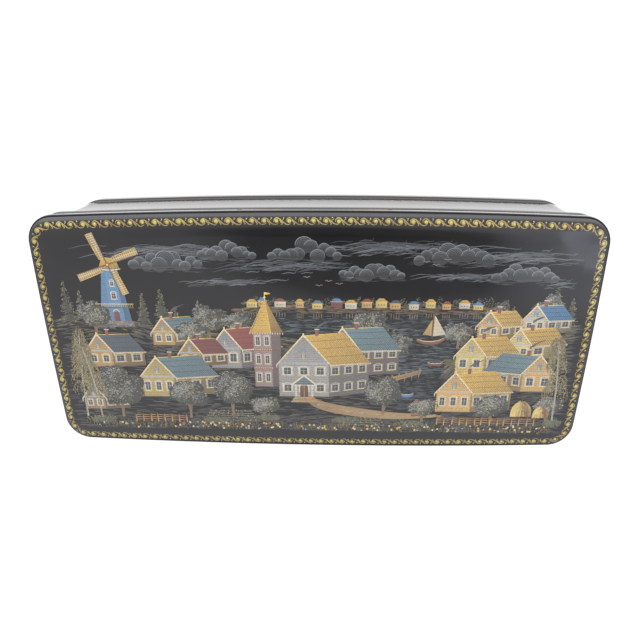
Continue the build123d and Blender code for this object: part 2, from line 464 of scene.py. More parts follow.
def smooth_path(points, count):
    """Points spread along a Catmull-Rom curve through the given ones, for paths shaped (..., K, 2).

    Between two knots the curve is the cubic whose end slopes are half the chord of their neighbours.
    """
    knots = np.asarray(points, float)
    first = 2 * knots[..., :1, :] - knots[..., 1:2, :]
    last = 2 * knots[..., -1:, :] - knots[..., -2:-1, :]
    held = np.concatenate([first, knots, last], -2)
    place = np.linspace(0, knots.shape[-2] - 1, count)
    span = np.minimum(place.astype(int), knots.shape[-2] - 2)
    t = (place - span)[:, None]
    a, b, c, d = (held[..., span + n, :] for n in range(4))
    return 0.5 * (2 * b + (c - a) * t + (2 * a - 5 * b + 4 * c - d) * t**2 + (3 * b - a - 3 * c + d) * t**3)


def ribbons(paths, widths, thin=0.3):
    """Ribbons along paths (ribbons, K, 2): each point is moved sideways by half the local width.

    The width swells as a sine from a thin start to full and back to a thin end, as a brush gives it.
    """
    paths = np.asarray(paths, float)
    along = np.gradient(paths, axis=1)
    along /= np.linalg.norm(along, axis=-1, keepdims=True) + 1e-9
    t = np.linspace(0, 1, paths.shape[1])
    thin_start, thin_end = np.broadcast_to(thin, 2)
    least = thin_start * (1 - t) + thin_end * t
    half = np.reshape(widths, (-1, 1)) / 2 * (least + (1 - least) * np.sin(pi * t) ** 0.6)
    offset = at(-along[..., 1], along[..., 0]) * half[..., None]
    return np.stack([paths - offset, paths + offset], 1)


def discs(centres, radii, aspect=1.0, turn=0.0, size=3):
    """Round or oval grids: a square grid whose points are drawn in to a circle, so it has no pole."""
    centres = np.reshape(centres, (-1, 1, 1, 2))
    across, up = np.meshgrid(np.linspace(-1, 1, size), np.linspace(-1, 1, size))
    radii, turn = (np.broadcast_to(part, len(centres))[:, None, None] for part in (radii, turn))
    x = across * np.sqrt(1 - up**2 / 2) * radii
    y = up * np.sqrt(1 - across**2 / 2) * radii * aspect
    return centres + at(x * np.cos(turn) - y * np.sin(turn), x * np.sin(turn) + y * np.cos(turn))


GOLD_BRIGHT = linear("#C8BA5E")
GOLD_DEEP = linear("#93793E")
GOLD_PALE = linear("#DCD2A8")
VINE_DEEP = linear("#6E4A40")
VINE_PALE = linear("#B58C74")

# Strokes of one repeat, as knots along the border and outwards from its middle, with width and points.
# The S arches over one berry and runs down under the next; a comma and a stem fill the gap below.
S_STROKE = [
    (-1.15, -0.35), (-0.95, 0.75), (0.1, 1.25), (1.3, 0.65), (2.5, -0.45), (3.7, -1.25),
    (4.95, -1.2), (5.75, -0.5),
]
COMMA = [(1.0, 0.45), (1.7, -0.35), (2.2, -1.05), (1.6, -1.4)]
SPRIG = [(2.2, 0.35), (2.8, 0.8), (3.0, 1.35)]
SCROLL_UNIT = ((S_STROKE, 0.44, 18), (COMMA, 0.4, 8), (SPRIG, 0.26, 6))
BERRY = 0.82

# Strokes of the vine, as knots along the wall and their heights
STEM = [(0, 8.6), (0.9, 9.9), (2.1, 9.9), (3.0, 8.6), (4.2, 8.2), (5.0, 9.2)]
LEAF = [(2.1, 9.6), (2.7, 9.2), (2.5, 8.5)]


def round_the_border(local):
    """Carries points given as (distance along, distance outwards) onto the border's middle line."""
    line, normal = around(local[..., 0], border_inset)
    return line + normal * local[..., 1:2]


def by_hand(knots, starts, wander):
    """A stroke's knots at each start along a line, each knot a little off its place."""
    own = np.array(knots)[None] + rng.normal(0, wander, (len(starts), len(knots), 2))
    own[..., 0] += starts[:, None]
    return own


def scroll_border():
    """The whole border: every repeat is drawn by hand, so each is moved and coloured a little apart."""
    work = Brushwork(0.01)
    step = 0.002
    repeats = round(girth(border_inset) / border_pitch)
    starts = np.arange(repeats) * girth(border_inset) / repeats
    wave = 0.5 + 0.5 * np.sin(starts * 0.11 + 1.3 * np.sin(starts * 0.031))
    worn = np.clip(wave * 0.75 + rng.uniform(0, 0.45, repeats), 0, 1)[:, None, None, None]
    for knots, wide, count in SCROLL_UNIT:
        path = smooth_path(by_hand(knots, starts, 0.07), count)
        strip = ribbons(path, rng.normal(wide, 0.05, repeats))
        shade = mixed(GOLD_BRIGHT, GOLD_DEEP, np.linspace(0, 1, count))
        work.lay(round_the_border(strip), shade * worn + GOLD_DEEP * (1 - worn), step)
    spots = at(starts, 0.05) + rng.normal(0, 0.08, (repeats, 2))
    berry = discs(spots, rng.normal(BERRY, 0.06, repeats), size=7)
    far = np.linalg.norm(berry - spots[:, None, None, :], axis=-1) / BERRY
    # Each berry is painted lighter at its middle, a painted highlight on its dome
    lit = np.clip(1.15 - 0.5 * far, 0.45, 1)[..., None]
    work.lay(round_the_border(berry), GOLD_BRIGHT * lit, step, 0.05 * np.clip(1 - far**2, 0, 1))
    dots = at(starts + 2.65, 1.2) + rng.normal(0, 0.1, (repeats, 2))
    work.lay(round_the_border(discs(dots, 0.24)), GOLD_PALE * 0.8, step)
    work.piece("border_scroll", [gold])


def arc_points(first, middle, last, count):
    """Points along the arc through three points of inset and height, in equal turns about its centre."""
    knots = np.array([first, middle, last], float)
    sides = 2 * (knots[1:] - knots[0])
    squares = (knots[1:] ** 2).sum(-1) - (knots[0] ** 2).sum()
    centre = np.linalg.solve(sides, squares)
    angles = np.unwrap(np.arctan2(*(knots - centre).T[::-1]))
    turn = np.linspace(angles[0], angles[2], count)[:, None]
    return centre + np.hypot(*(knots[0] - centre)) * np.concatenate([np.cos(turn), np.sin(turn)], -1)


# The wall's outer side from the foot up, as inset and height: the hollow, then the rim
hollow = arc_points((wall_inset, 6.0), (2.2, 21.01), (wall_inset, 33.4), 40)
rim = arc_points((wall_inset, 33.4), (0.2, 37.9), (2.1, rim_level), 40)
wall_side = np.concatenate([hollow, rim[1:]])


def on_walls(along, inset, level):
    """Points at distances round the walls, insets from the lid's outline and heights."""
    line, normal = around(along, wall_inset)
    flat = line + normal * (wall_inset - inset)[..., None]
    return np.concatenate([flat, level[..., None]], -1)


def coat(name, section, body):
    """A lacquer coat: its section carried all round the plan, left open at the hinge's barrel."""
    along = np.linspace(0, girth(wall_inset), coat_columns)
    along, inset = np.meshgrid(along, section[:, 0], indexing="ij")
    points = on_walls(along, inset, np.broadcast_to(section[:, 1], inset.shape)).reshape(-1, 3)
    faces = quads(np.arange(inset.size).reshape(inset.shape), outward=True)
    x, y, z = points[faces].mean(1).T
    barrel = (np.abs(x) < barrel_half) & (y > 0) & (z > barrel_low) & (z < barrel_high)
    mesh_piece(name, points, faces[~barrel], [black], body)


def lid_edge():
    """Section of the lid's coat, from the end of the roll-off over the round to the bevel."""
    turn = np.linspace(pi / 2 - roll_off_turn, 0, 25)
    drop = roll_off_radius * (1 - cos(roll_off_turn))
    middle = np.array([lid_round, height - drop - lid_round * sin(pi / 2 - roll_off_turn)])
    # The coat thickens from nothing over its first 20 degrees
    depth = lid_coat_depth * np.clip((turn[0] - turn) / radians(20), 0, 1)[:, None]
    bevel = [(-lid_coat_depth, rim_level + 1.4), (1.2 - lid_coat_depth, rim_level + 0.2)]
    return np.concatenate([middle + at(-np.cos(turn), np.sin(turn)) * (lid_round + depth), bevel])


def wall_line():
    """A brown-gold vine between two lines low on the walls, all round the box, a hair over the coat."""
    repeats = round(girth(wall_inset) / vine_pitch)
    starts = np.arange(repeats) * girth(wall_inset) / repeats
    sides = np.linspace(0, girth(wall_inset), vine_columns)
    grids = [ribbons([at(sides, level)], [0.22], 1.0) for level in (7.5, 10.9)]
    for knots, wide, count in ((STEM, 0.4, 14), (LEAF, 0.5, 6)):
        grids.append(ribbons(smooth_path(by_hand(knots, starts, 0.06), count), wide))
    grids.append(discs(at(starts + 1.5, 8.7), 0.45, size=5))
    work = Brushwork()
    for grid in grids:
        along, level = grid[..., 0], grid[..., 1]
        inset = np.interp(level, wall_side[:, 1], wall_side[:, 0]) - coat_depth - vine_lift
        tint = mixed(VINE_DEEP, VINE_PALE, rng.uniform(0, 1, len(grid)) ** 2)
        work.add(on_walls(along, inset, level), tint[:, None, None], outward=True)
    work.piece("wall_gold_line", [gold], "body")


# The picture ends this far from the lid's middle along the box
field_edge = 109.0

# Pigments of the picture, mixed a little paler than they read, because the grain darkens them
INK = linear("#1B1A1A")
UMBER = linear("#3B2A1C")
SIENNA = linear("#7A4A28")
BRICK = linear("#9A4433")
OCHRE = linear("#E0B650")
STRAW = linear("#F8DC80")
PEACH = linear("#E8BE72")
TAN = linear("#B4925F")
CREAM = linear("#F3EAD2")
SKY_BLUE = linear("#4F97D0")
PALE_BLUE = linear("#A9CBDD")
TEAL_GREY = linear("#6F8E96")
SLATE = linear("#4A5C66")
OLIVE = linear("#5E5F38")
MOSS = linear("#393C24")
SAGE = linear("#8C9074")
ROSE_GREY = linear("#A08C84")
SMOKE = linear("#9AA2A8")
NIGHT = linear("#2A3038")
PALE_STONE = linear("#BDBAB4")
ROSE_STONE = linear("#B39A97")
ASH = linear("#999C98")


def shades(pigment, *levels):
    """A pigment at several strengths."""
    return np.multiply.outer(levels, pigment)


def three_toned(hues, share, knee):
    """Pigments from the first hue to the second, which is reached at the knee, and on to the third."""
    low = mixed(hues[0], hues[1], share / knee)
    high = mixed(hues[1], hues[2], (share - knee) / (1 - knee))
    return np.where(share[:, None] < knee, low, high)


def oblong(x, y, wide, tall):
    """Corners of a rectangle, from the lower left one round to the upper left one."""
    return [(x, y), (x + wide, y), (x + wide, y + tall), (x, y + tall)]


def scatter(count, x, y, wide, tall):
    """Points spread at random in an oval."""
    turn = rng.uniform(0, 2 * pi, count)
    reach = np.sqrt(rng.uniform(0, 1, count))
    return at(x + wide * reach * np.cos(turn), y + tall * reach * np.sin(turn))


def windows(work, near, far, sill, tall, count, share, casing, pane):
    """A row of windows on a wall whose foot runs from near to far: casings, panes, bars and a lintel.

    Each is centred on its part of the wall, and takes that share of the part's length.
    """
    left = mixed(near, far, middles(count) - share / count / 2)
    right = mixed(near, far, middles(count) + share / count / 2)
    up = np.array([0.0, 1.0])

    def panel(grow, low, high):
        """Corners of the windows' panels, grown sideways, between two heights over the wall's foot."""
        start, end = left - (right - left) * grow, right + (right - left) * grow
        return np.stack([start + up * low, end + up * low, end + up * high, start + up * high], 1)

    work.fill(panel(0.28, sill - 0.35, sill + tall + 0.3), shades(casing, 0.8, 0.8, 1.0, 1.0))
    work.fill(panel(0.0, sill, sill + tall), shades(pane, 1.8, 1.0, 0.7, 1.0))
    middle = (left + right) / 2
    work.lines(middle + up * sill, middle + up * (sill + tall), 0.16, casing * 0.9)
    work.lines(left + up * (sill + tall * 0.6), right + up * (sill + tall * 0.6), 0.14, casing * 0.9)
    lift = (right - left) * 0.42
    head = up * (sill + tall + 0.35)
    arch = np.stack([left - lift + head, middle + head + up * 0.55, right + lift + head], 1)
    work.strokes(arch, 0.3, casing, count=7, thin=0.6)
    work.lines(left - lift + up * (sill - 0.4), right + lift + up * (sill - 0.4), 0.22, STRAW, gilded=True)


def boards(work, corners, count, dark, light, upright=False):
    """Logs or boards along a wall or a roof, or up it: a dark seam and a light edge for each."""
    first, second, third, fourth = corners
    if upright:
        second, fourth = fourth, second
    share = np.arange(1, count) / count
    near, far = mixed(first, fourth, share), mixed(second, third, share)
    near = near + rng.normal(0, 0.04, near.shape)
    far = far + rng.normal(0, 0.04, far.shape)
    work.lines(near, far, 0.2, dark, thin=(0.8, 0.5))
    work.lines(near + (0, 0.18), far + (0, 0.18), 0.12, light, thin=(0.9, 0.3))


def chimney(work, x, y, tall):
    """A brick chimney with a white cap and a curl of smoke."""
    work.fill(oblong(x, y, 1.5, tall), shades(BRICK, 1.0, 0.6, 0.7, 1.0))
    rows = y + np.arange(0.5, tall, 0.55)
    work.lines(at(x, rows), at(x + 1.5, rows), 0.1, PEACH * 0.6)
    work.lines((x - 0.3, y + tall), (x + 1.8, y + tall), 0.45, CREAM, thin=0.9)
    puffs = 4
    start = (x + 0.7, y + tall + 0.4) + rng.normal(0, 0.2, (puffs, 2))
    drift = rng.uniform(2.0, 7.0, (puffs, 1)) * (0.9, 0.55)
    curl = start + drift * 0.4 + rng.normal(0, 0.1, (puffs, 2)) + (-0.4, 0.4)
    paths = np.stack([start, curl, start + drift], 1)
    work.strokes(paths, rng.uniform(0.3, 0.6, puffs), SMOKE * 0.4, SMOKE * 0.1)


def log_house(work, x, y, wide, tall, gable, deep, lean, wall, roof, panes=2, long_panes=2, storeys=1):
    """A log house seen from a corner: its gable end, one long wall and that side's slope of the roof.

    The gable end stands on (x, y). The long wall runs deep to the right, or to the left below zero,
    and its far end lies higher by the lean.
    """
    side = 1 if deep > 0 else -1
    near = x + wide if deep > 0 else x
    far = near + deep
    far_top = y + lean + tall * 0.93
    top = y + tall
    shade = wall * 0.45
    storey = tall / storeys
    feet = storey * np.arange(storeys)
    # The long wall, and the roof's slope over it
    long_wall = [(near, y), (far, y + lean), (far, far_top), (near, top)]
    work.fill(long_wall, shades(shade, 0.7, 0.5, 0.8, 1.0), 3, 3)
    boards(work, long_wall, int(tall), shade * 0.3, shade * 1.5)
    for foot in feet:
        ends = (near, y + foot), (far, y + lean + foot * 0.95)
        windows(work, *ends, storey * 0.34, storey * 0.36, long_panes, 0.42, CREAM * 0.75, NIGHT)
    ridge_near = np.array([x + wide / 2 - side * 0.4, top + gable + 0.3])
    ridge_far = ridge_near + (deep, lean - tall * 0.05)
    eaves_near, eaves_far = np.array([near + side, top - 0.9]), np.array([far + side * 0.9, far_top - 0.8])
    slope = [eaves_near, eaves_far, ridge_far, ridge_near]
    work.fill(slope, shades(roof, 0.75, 0.45, 0.9, 1.25), 3, 4)
    boards(work, slope, int(abs(deep) / 0.9), roof * 0.25, roof * 1.7 + 0.03, upright=True)
    for course in (0.28, 0.55, 0.8):
        ends = mixed(eaves_near, ridge_near, course), mixed(eaves_far, ridge_far, course)
        work.lines(*ends, 0.22, roof * 0.22, thin=(0.9, 0.7))
    work.lines(eaves_near, eaves_far, 0.45, CREAM * 0.8, thin=(0.9, 0.6))
    fringe = mixed(eaves_near, eaves_far, middles(int(abs(deep) / 0.7)))
    work.dabs(fringe - (0, 0.35), 0.17, STRAW, gilded=True)
    work.lines(ridge_near, ridge_far, 0.3, STRAW, OCHRE, gilded=True)
    chimney(work, ridge_near[0] + deep * 0.35 - 0.7, ridge_near[1] + lean * 0.35 - 0.8, 3.0)
    # The gable end
    front = oblong(x, y, wide, tall)
    eaves = (x, top), (x + wide, top)
    peak = np.array([x + wide / 2, top + gable])
    work.fill(front, shades(wall, 0.75, 0.9, 1.0, 0.95), 3, 3)
    work.fill([*eaves, peak + (0.1, 0), peak - (0.1, 0)], shades(wall, 1.0, 0.9, 0.7, 0.7), 3, 3)
    boards(work, front, int(tall), wall * 0.35, wall * 1.25)
    boards(work, [*eaves, peak, peak], int(gable), wall * 0.35, wall * 1.2)
    for foot in y + feet:
        ends = (x, foot), (x + wide, foot)
        windows(work, *ends, storey * 0.34, storey * 0.38, panes, 0.42, CREAM, SLATE * 0.5)
    ends = (peak[0] - 1.2, top), (peak[0] + 1.2, top)
    windows(work, *ends, gable * 0.2, gable * 0.26, 1, 0.5, SKY_BLUE, STRAW * 0.6)
    work.lines((x - 0.4, top), (x + wide + 0.4, top), 0.4, PALE_BLUE, thin=0.8)
    log_ends = y + np.arange(0.3, tall, 0.95)
    for edge in (x, x + wide):
        work.dabs(at(edge, log_ends), 0.38, mixed(wall * 1.15, UMBER, rng.uniform(0, 0.5, len(log_ends))))
    for way in (-1, 1):
        eave = np.array([peak[0] + way * (wide / 2 + 1.1), top - 1.1])
        work.lines(eave, peak + (0, 0.5), 0.75, CREAM * 0.85, CREAM, thin=0.9)
        work.lines(eave + (0, 0.32), peak + (0, 0.85), 0.22, STRAW, gilded=True)
        work.dabs(mixed(eave, peak, middles(9)) - (0, 0.25), 0.2, BRICK * 0.9)
        work.lines(eave, eave - (0, 1.5), 0.5, CREAM, OCHRE, thin=(0.8, 0.2))
    work.dabs([peak + (0, 1.1)], 0.42, STRAW, gilded=True)
    work.lines((x - 0.6, y), (x + wide + 0.6, y), 0.5, UMBER, thin=0.8)


def fir(work, x, y, tall, wide):
    """A fir: boughs that fall from the trunk and turn up at their tips, shorter towards the top."""
    boughs = int(tall * 9)
    t = np.sort(rng.uniform(0.04, 1, boughs))
    side = rng.choice([-1, 1], boughs)
    start = at(x + rng.normal(0, 0.15, boughs), y + tall * (1 - t * 0.94))
    reach = side * wide / 2 * t**0.85 * rng.uniform(0.45, 1.05, boughs)
    end = start + at(reach, -np.abs(reach) * 0.32 - 0.2)
    lit = mixed(MOSS, SAGE, np.clip(rng.uniform(-0.2, 0.75, boughs) - 0.15 * (side > 0), 0, 1))
    widths = rng.uniform(0.25, 0.5, boughs)
    work.lines(start, end, widths, MOSS, lit, bend=-side * 0.14, thin=(0.6, 0.2), step=HEAP)
    work.lines((x, y - 0.8), (x, y + tall), 0.4, UMBER, OLIVE, thin=(1.0, 0.1))
    work.dabs(end[::5], 0.16, STRAW * 0.7)


def leafy_tree(work, x, y, tall, wide, hues, tufts=15):
    """A broad tree: trunk, boughs, and tufts of short strokes that fan out from each tuft's middle."""
    heads = scatter(tufts, x, y + tall * 0.64, wide * 0.36, tall * 0.27)
    bole = np.array([x + rng.normal(0, 0.3), y + tall * 0.3])
    forks = bole + rng.normal(0, 0.25, heads.shape)
    boughs = np.stack([np.broadcast_to((x, y), heads.shape), forks, heads], 1)
    work.strokes(boughs, 0.42, TAN * 0.5, TAN * 0.35, thin=(1.0, 0.2))
    work.lines((x, y), bole, 1.0, TAN * 0.6, TAN * 0.4, thin=(1.3, 0.7))
    work.dabs(heads, wide * 0.2, hues[0] * 0.45, aspect=0.85, size=9)
    owner = np.repeat(np.arange(tufts), 60)
    count = len(owner)
    turn = rng.uniform(0, 2 * pi, count)
    reach = rng.uniform(0.25, 1.0, count)
    out = at(np.cos(turn), np.sin(turn) * 0.8)
    start = heads[owner] + out * (reach * wide * 0.21)[:, None]
    end = start + out * rng.uniform(0.5, 1.1, (count, 1)) - (0, 0.2)
    lit = np.clip(0.5 * out[:, 1] - 0.35 * out[:, 0] + rng.uniform(-0.3, 0.8, count) + 0.3 * reach, 0, 1)
    order = np.argsort(lit + rng.uniform(0, 0.4, count))
    tones = three_toned(hues, lit, 0.5)[order]
    widths = rng.uniform(0.22, 0.42, count)
    drawn = {"bend": 0.16, "thin": (0.3, 0.15), "step": HEAP}
    work.lines(start[order], end[order], widths, tones * 0.9, tones * 1.25, **drawn)
    sparks = rng.choice(count, tufts * 3, replace=False)
    gilt = mixed(OCHRE * 0.6, STRAW * 0.8, rng.uniform(0, 1, len(sparks)))
    work.dabs(end[sparks], rng.uniform(0.12, 0.2, len(sparks)), gilt, gilded=True)


def birch(work, x, y, tall, lean):
    """A birch: a white stem with dark ticks, and twigs that hang in strings of small leaves."""
    strings = int(tall * 3.2)
    t = rng.uniform(0.35, 1, strings)
    root = at(x + lean * t**1.4, y + tall * t)
    side = rng.choice([-1, 1], strings)
    reach = rng.uniform(0.6, 5.2, strings) * side * (1.25 - t * 0.7)
    crest = root + at(reach * 0.7, rng.uniform(0.8, 1.8, strings))
    tip = root + at(reach * 1.15, -rng.uniform(2.0, 5.5, strings))
    twigs = smooth_path(np.stack([root, crest, (crest + tip) / 2 + at(reach * 0.25, 0.0), tip], 1), 16)
    work.strokes(twigs[:, ::5], 0.14, TAN * 0.5, count=9)
    leaves = twigs[:, 3:].reshape(-1, 2)
    leaves = leaves + rng.normal(0, 0.22, leaves.shape)
    count = len(leaves)
    tones = three_toned((OLIVE, SAGE, OCHRE), rng.uniform(0, 1, count), 0.6) * 0.9
    radii = rng.uniform(0.22, 0.38, count)
    work.dabs(leaves, radii, tones, aspect=0.5, turn=rng.uniform(0.8, 2.2, count), step=HEAP)
    stem = [[(x, y), (x + lean * 0.25, y + tall * 0.45), (x + lean, y + tall)]]
    work.strokes(stem, 0.75, CREAM * 0.6, CREAM * 0.5, count=12, thin=(1.2, 0.3))
    share = np.linspace(0.04, 0.85, int(tall / 0.8))
    ticks = at(x + lean * share**1.4, y + tall * share)
    ticks = ticks + rng.normal(0, 0.08, ticks.shape)
    work.lines(ticks - (0.3, 0), ticks + (0.25, 0.05), 0.22, INK)


def turf(work, top, low, count, dark, light, long):
    """Ground: strokes that follow the slope of its top line and lie at random depths below it.

    The top line is knots (x, y), straight between them, and the ground reaches down to low.
    """
    knots = np.array(top, float).T
    x = rng.uniform(knots[0, 0], knots[0, -1], count)
    crest = np.interp(x, *knots)
    slope = (np.interp(x + 1, *knots) - np.interp(x - 1, *knots)) / 2
    deep = rng.uniform(0, 1, count) ** 1.3
    middle = at(x, crest + (low - crest) * deep)
    half = at(1.0, slope * (1 - deep)) * rng.uniform(*long, count)[:, None] / 2
    share = np.clip(rng.uniform(-0.2, 1, count) * (1 - 0.5 * deep), 0, 1)
    widths = rng.uniform(0.2, 0.6, count)
    drawn = {"bend": rng.uniform(0.0, 0.06, count), "thin": 0.2, "step": HEAP}
    work.lines(middle - half, middle + half, widths, mixed(dark, light, share), dark, **drawn)


def ripples(work, x, y, wide, tall, count, light=TEAL_GREY):
    """Water: level strokes, longer and wider apart towards the viewer."""
    spot = at(x + wide * rng.uniform(-1, 1, count), y + tall * rng.uniform(-1, 1, count))
    near = (y + tall - spot[:, 1]) / (2 * tall)
    half = (rng.uniform(0.8, 2.6, count) * (0.6 + near))[:, None] * (1.0, 0.0)
    share = np.clip(rng.uniform(-0.4, 1, count), 0, 1)
    widths = rng.uniform(0.12, 0.3, count) * (0.7 + 0.6 * near)
    tones = mixed(NIGHT, light, share), mixed(NIGHT, light, share * 0.6)
    drawn = {"bend": rng.normal(0, 0.02, count), "thin": 0.15, "step": HEAP}
    work.lines(spot - half, spot + half, widths, *tones, **drawn)


def cloud(work, x, y, wide, tall):
    """Wind-drawn cloud: long thin strokes that share one wind and curl up at their forward ends."""
    count = int(wide * 1.8)
    middle = rng.normal(0, 1, (count, 2)) * (wide * 0.3, tall * 0.4)
    long = rng.uniform(0.2, 0.6, count) * wide * np.exp(-((middle[:, 1] / tall) ** 2))
    fore = middle + at(long / 2, 0.03 * long)
    hook = fore + at(rng.uniform(0.3, 1.5, count), rng.uniform(0.3, 1.4, count))
    start, body = middle - at(long / 2, 0.05 * long), middle + at(0.0, 0.06 * long)
    paths = np.stack([start, body, fore, hook], 1) + (x, y)
    paths = paths[np.all(np.abs(paths[..., 0]) < field_edge, 1)]
    pale = mixed(NIGHT, SMOKE, rng.uniform(0.1, 1, len(paths)) ** 1.5 * 0.9)
    work.strokes(paths, rng.uniform(0.14, 0.42, len(paths)), pale, NIGHT * 0.9, 12, 0.1, step=HEAP)


def billows(work, x, y, wide, tall):
    """A heaped cloud: round heads, farther ones first, each of rims drawn one inside the other.

    A head is laid over those behind it as a dark disc, and its rims run from dim to bright outwards.
    """
    heads, wisps = 11, 22
    share = rng.permutation(np.linspace(-0.5, 0.5, heads))
    lift = rng.uniform(0.0, 1.0, heads) * (1 - 3.2 * share**2)
    middle = at(x + wide * share, y + tall * lift * 0.6)
    radius = tall * (0.42 - 0.35 * np.abs(share)) * rng.uniform(0.8, 1.2, heads)
    for n in np.argsort(-middle[:, 1]):
        work.dabs([middle[n]], radius[n], INK * 0.75, aspect=0.92, size=9)
        rims = np.array([0.3, 0.52, 0.74, 0.95])[:, None, None] * radius[n]
        turn = np.linspace(1.02 * pi, -0.05 * pi, 9) + rng.normal(0, 0.05)
        arcs = middle[n] + rims * at(np.cos(turn), 0.92 * np.sin(turn))
        light = np.array([0.3, 0.42, 0.58, 1.0]) * rng.uniform(0.85, 1.15)
        tones = mixed(NIGHT, SMOKE * 1.1, light), mixed(NIGHT, SMOKE, light * 0.6)
        work.strokes(arcs, (0.2, 0.22, 0.26, 0.36), *tones, count=18, thin=(0.2, 0.1))
    foot = at(x + wide * rng.uniform(-0.6, 0.6, wisps), y - tall * rng.uniform(0.02, 0.3, wisps))
    half = rng.uniform(1.5, 5.0, (wisps, 1)) * (1.0, 0.0)
    widths = rng.uniform(0.14, 0.3, wisps)
    work.lines(foot - half, foot + half, widths, SMOKE * 0.35, NIGHT, thin=0.1, step=HEAP)


def sky(work):
    """Clouds over the river, and a few birds."""
    for place in (
        (-58, 39, 46, 3.4), (-12, 33, 36, 3.0), (30, 41, 48, 3.2), (82, 37, 40, 3.6), (64, 29, 26, 2.0),
        (-34, 26, 24, 1.8), (101, 26, 14, 2.4),
    ):
        cloud(work, *place)
    for place in (
        (-62, 33, 27, 8.8), (-36, 37.5, 21, 7.5), (-4, 37.5, 27, 8.6), (24, 29.5, 24, 7.6), (57, 36, 28, 9.0),
        (87, 28.5, 24, 7.8),
    ):
        billows(work, *place)
    birds = np.array(
        [(2, 25), (6, 27), (10.5, 25.8), (15, 28.5), (-3, 28.6), (46, 35.5), (50, 34.2), (54.5, 36.4)]
    )
    for way in (-1, 1):
        wing = np.stack([birds, birds + (way * 0.8, 0.55), birds + (way * 1.7, 0.25)], 1)
        work.strokes(wing, 0.22, CREAM * 0.6, CREAM * 0.4, 6, (0.6, 0.1))


def far_shore(work):
    """The far bank: a low strip of land with a hamlet, small trees and their broken reflections."""
    land = [(-34, 14.5), (-10, 16.2), (20, 15.6), (48, 17.2), (80, 15.8)]
    turf(work, land, 12.6, 420, UMBER, OCHRE * 0.7, (2, 6))
    for x in np.arange(-30, 80, 2.6):
        tall = rng.uniform(1.8, 4.4)
        heads = scatter(26, x + rng.normal(0, 0.5), 16.4 + tall * 0.45, 1.2, tall * 0.5)
        tones = mixed(MOSS, SAGE, rng.uniform(0, 1, len(heads))) * 0.8
        work.dabs(heads, rng.uniform(0.2, 0.36, len(heads)), tones, aspect=0.5, turn=0.6)
    for x, wall, roof in (
        (-29, STRAW, OCHRE), (-24, PEACH, SKY_BLUE), (-17, CREAM, BRICK), (-8, PEACH, OCHRE),
        (-1, STRAW, TEAL_GREY), (7, BRICK, SKY_BLUE), (13, CREAM, OCHRE), (20, PEACH, BRICK),
        (26, STRAW, OCHRE), (32, PEACH, SLATE), (40, CREAM, SKY_BLUE), (47, STRAW, OCHRE),
        (54, PEACH, BRICK), (61, CREAM, OCHRE), (67, STRAW, SKY_BLUE),
    ):
        wide, tall = rng.uniform(3.4, 5.0), rng.uniform(1.9, 2.9)
        y = 14.9 + rng.uniform(-0.2, 0.7)
        top = y + tall
        eaves = (x - 0.4, top), (x + wide + 0.4, top)
        ridge = (x + wide * 0.7, top + 1.5), (x + wide * 0.3, top + 1.5)
        work.fill(oblong(x, y, wide, tall), shades(wall, 0.6, 0.8, 1.0, 0.8))
        work.fill([*eaves, *ridge], shades(roof, 0.6, 0.8, 1.1, 1.0))
        work.lines(*eaves, 0.16, STRAW, gilded=True)
        work.dabs(at(x + wide * np.array([0.25, 0.5, 0.75]), y + tall * 0.5), 0.24, NIGHT, aspect=1.4)
        drop = at(x + wide * np.array([0.15, 0.4, 0.65, 0.9]), y - 2.3)
        work.lines(drop, drop - (0, 2.6), 0.4, wall * 0.32, wall * 0.08, thin=(0.7, 0.2))


def river(work):
    """The river, from the far bank to a landing in front, and a small boat under sail."""
    ripples(work, 24, 7.5, 56, 4.6, 620)
    ripples(work, 48, -6, 14, 10, 420)
    ripples(work, 44, -24, 10, 10, 300, SLATE)
    hull = np.array([(44.0, 0.6), (47.5, -0.5), (52.5, -0.4), (56.5, 1.4)])
    work.strokes([hull], 1.5, SIENNA, BRICK, 14)
    work.strokes([hull + (0, 0.75)], 0.3, STRAW, count=14, gilded=True)
    work.fill(oblong(50.6, 1.4, 0.3, 11.0), SIENNA)
    mainsail = [(51.1, 2.6), (56.6, 3.4), (51.6, 11.9), (51.1, 12.0)]
    work.fill(mainsail, [CREAM * 0.9, CREAM * 0.7, CREAM, PEACH], 5, 5)
    foresail = [(50.4, 2.8), (46.6, 3.4), (50.2, 10.0), (50.4, 10.4)]
    work.fill(foresail, shades(PEACH, 0.7, 0.5, 1.0, 0.8), 4, 4)
    seam = np.linspace(0.15, 0.85, 5)
    ends = mixed((51.1, 2.8), (51.1, 11.8), seam), mixed((56.4, 3.6), (51.8, 11.8), seam)
    work.lines(*ends, 0.14, TAN, bend=-0.05)
    work.lines((50.7, 12.4), (53.2, 12.9), 0.5, BRICK, BRICK * 0.6, thin=(0.9, 0.2))
    steps = np.arange(-4, 5)
    mirror = at(51 + steps * 0.9, -1.6 - 0.4 * steps)
    work.lines(mirror - (1.4, 0), mirror + (1.3, 0), 0.28, CREAM * 0.3, NIGHT, thin=0.2)


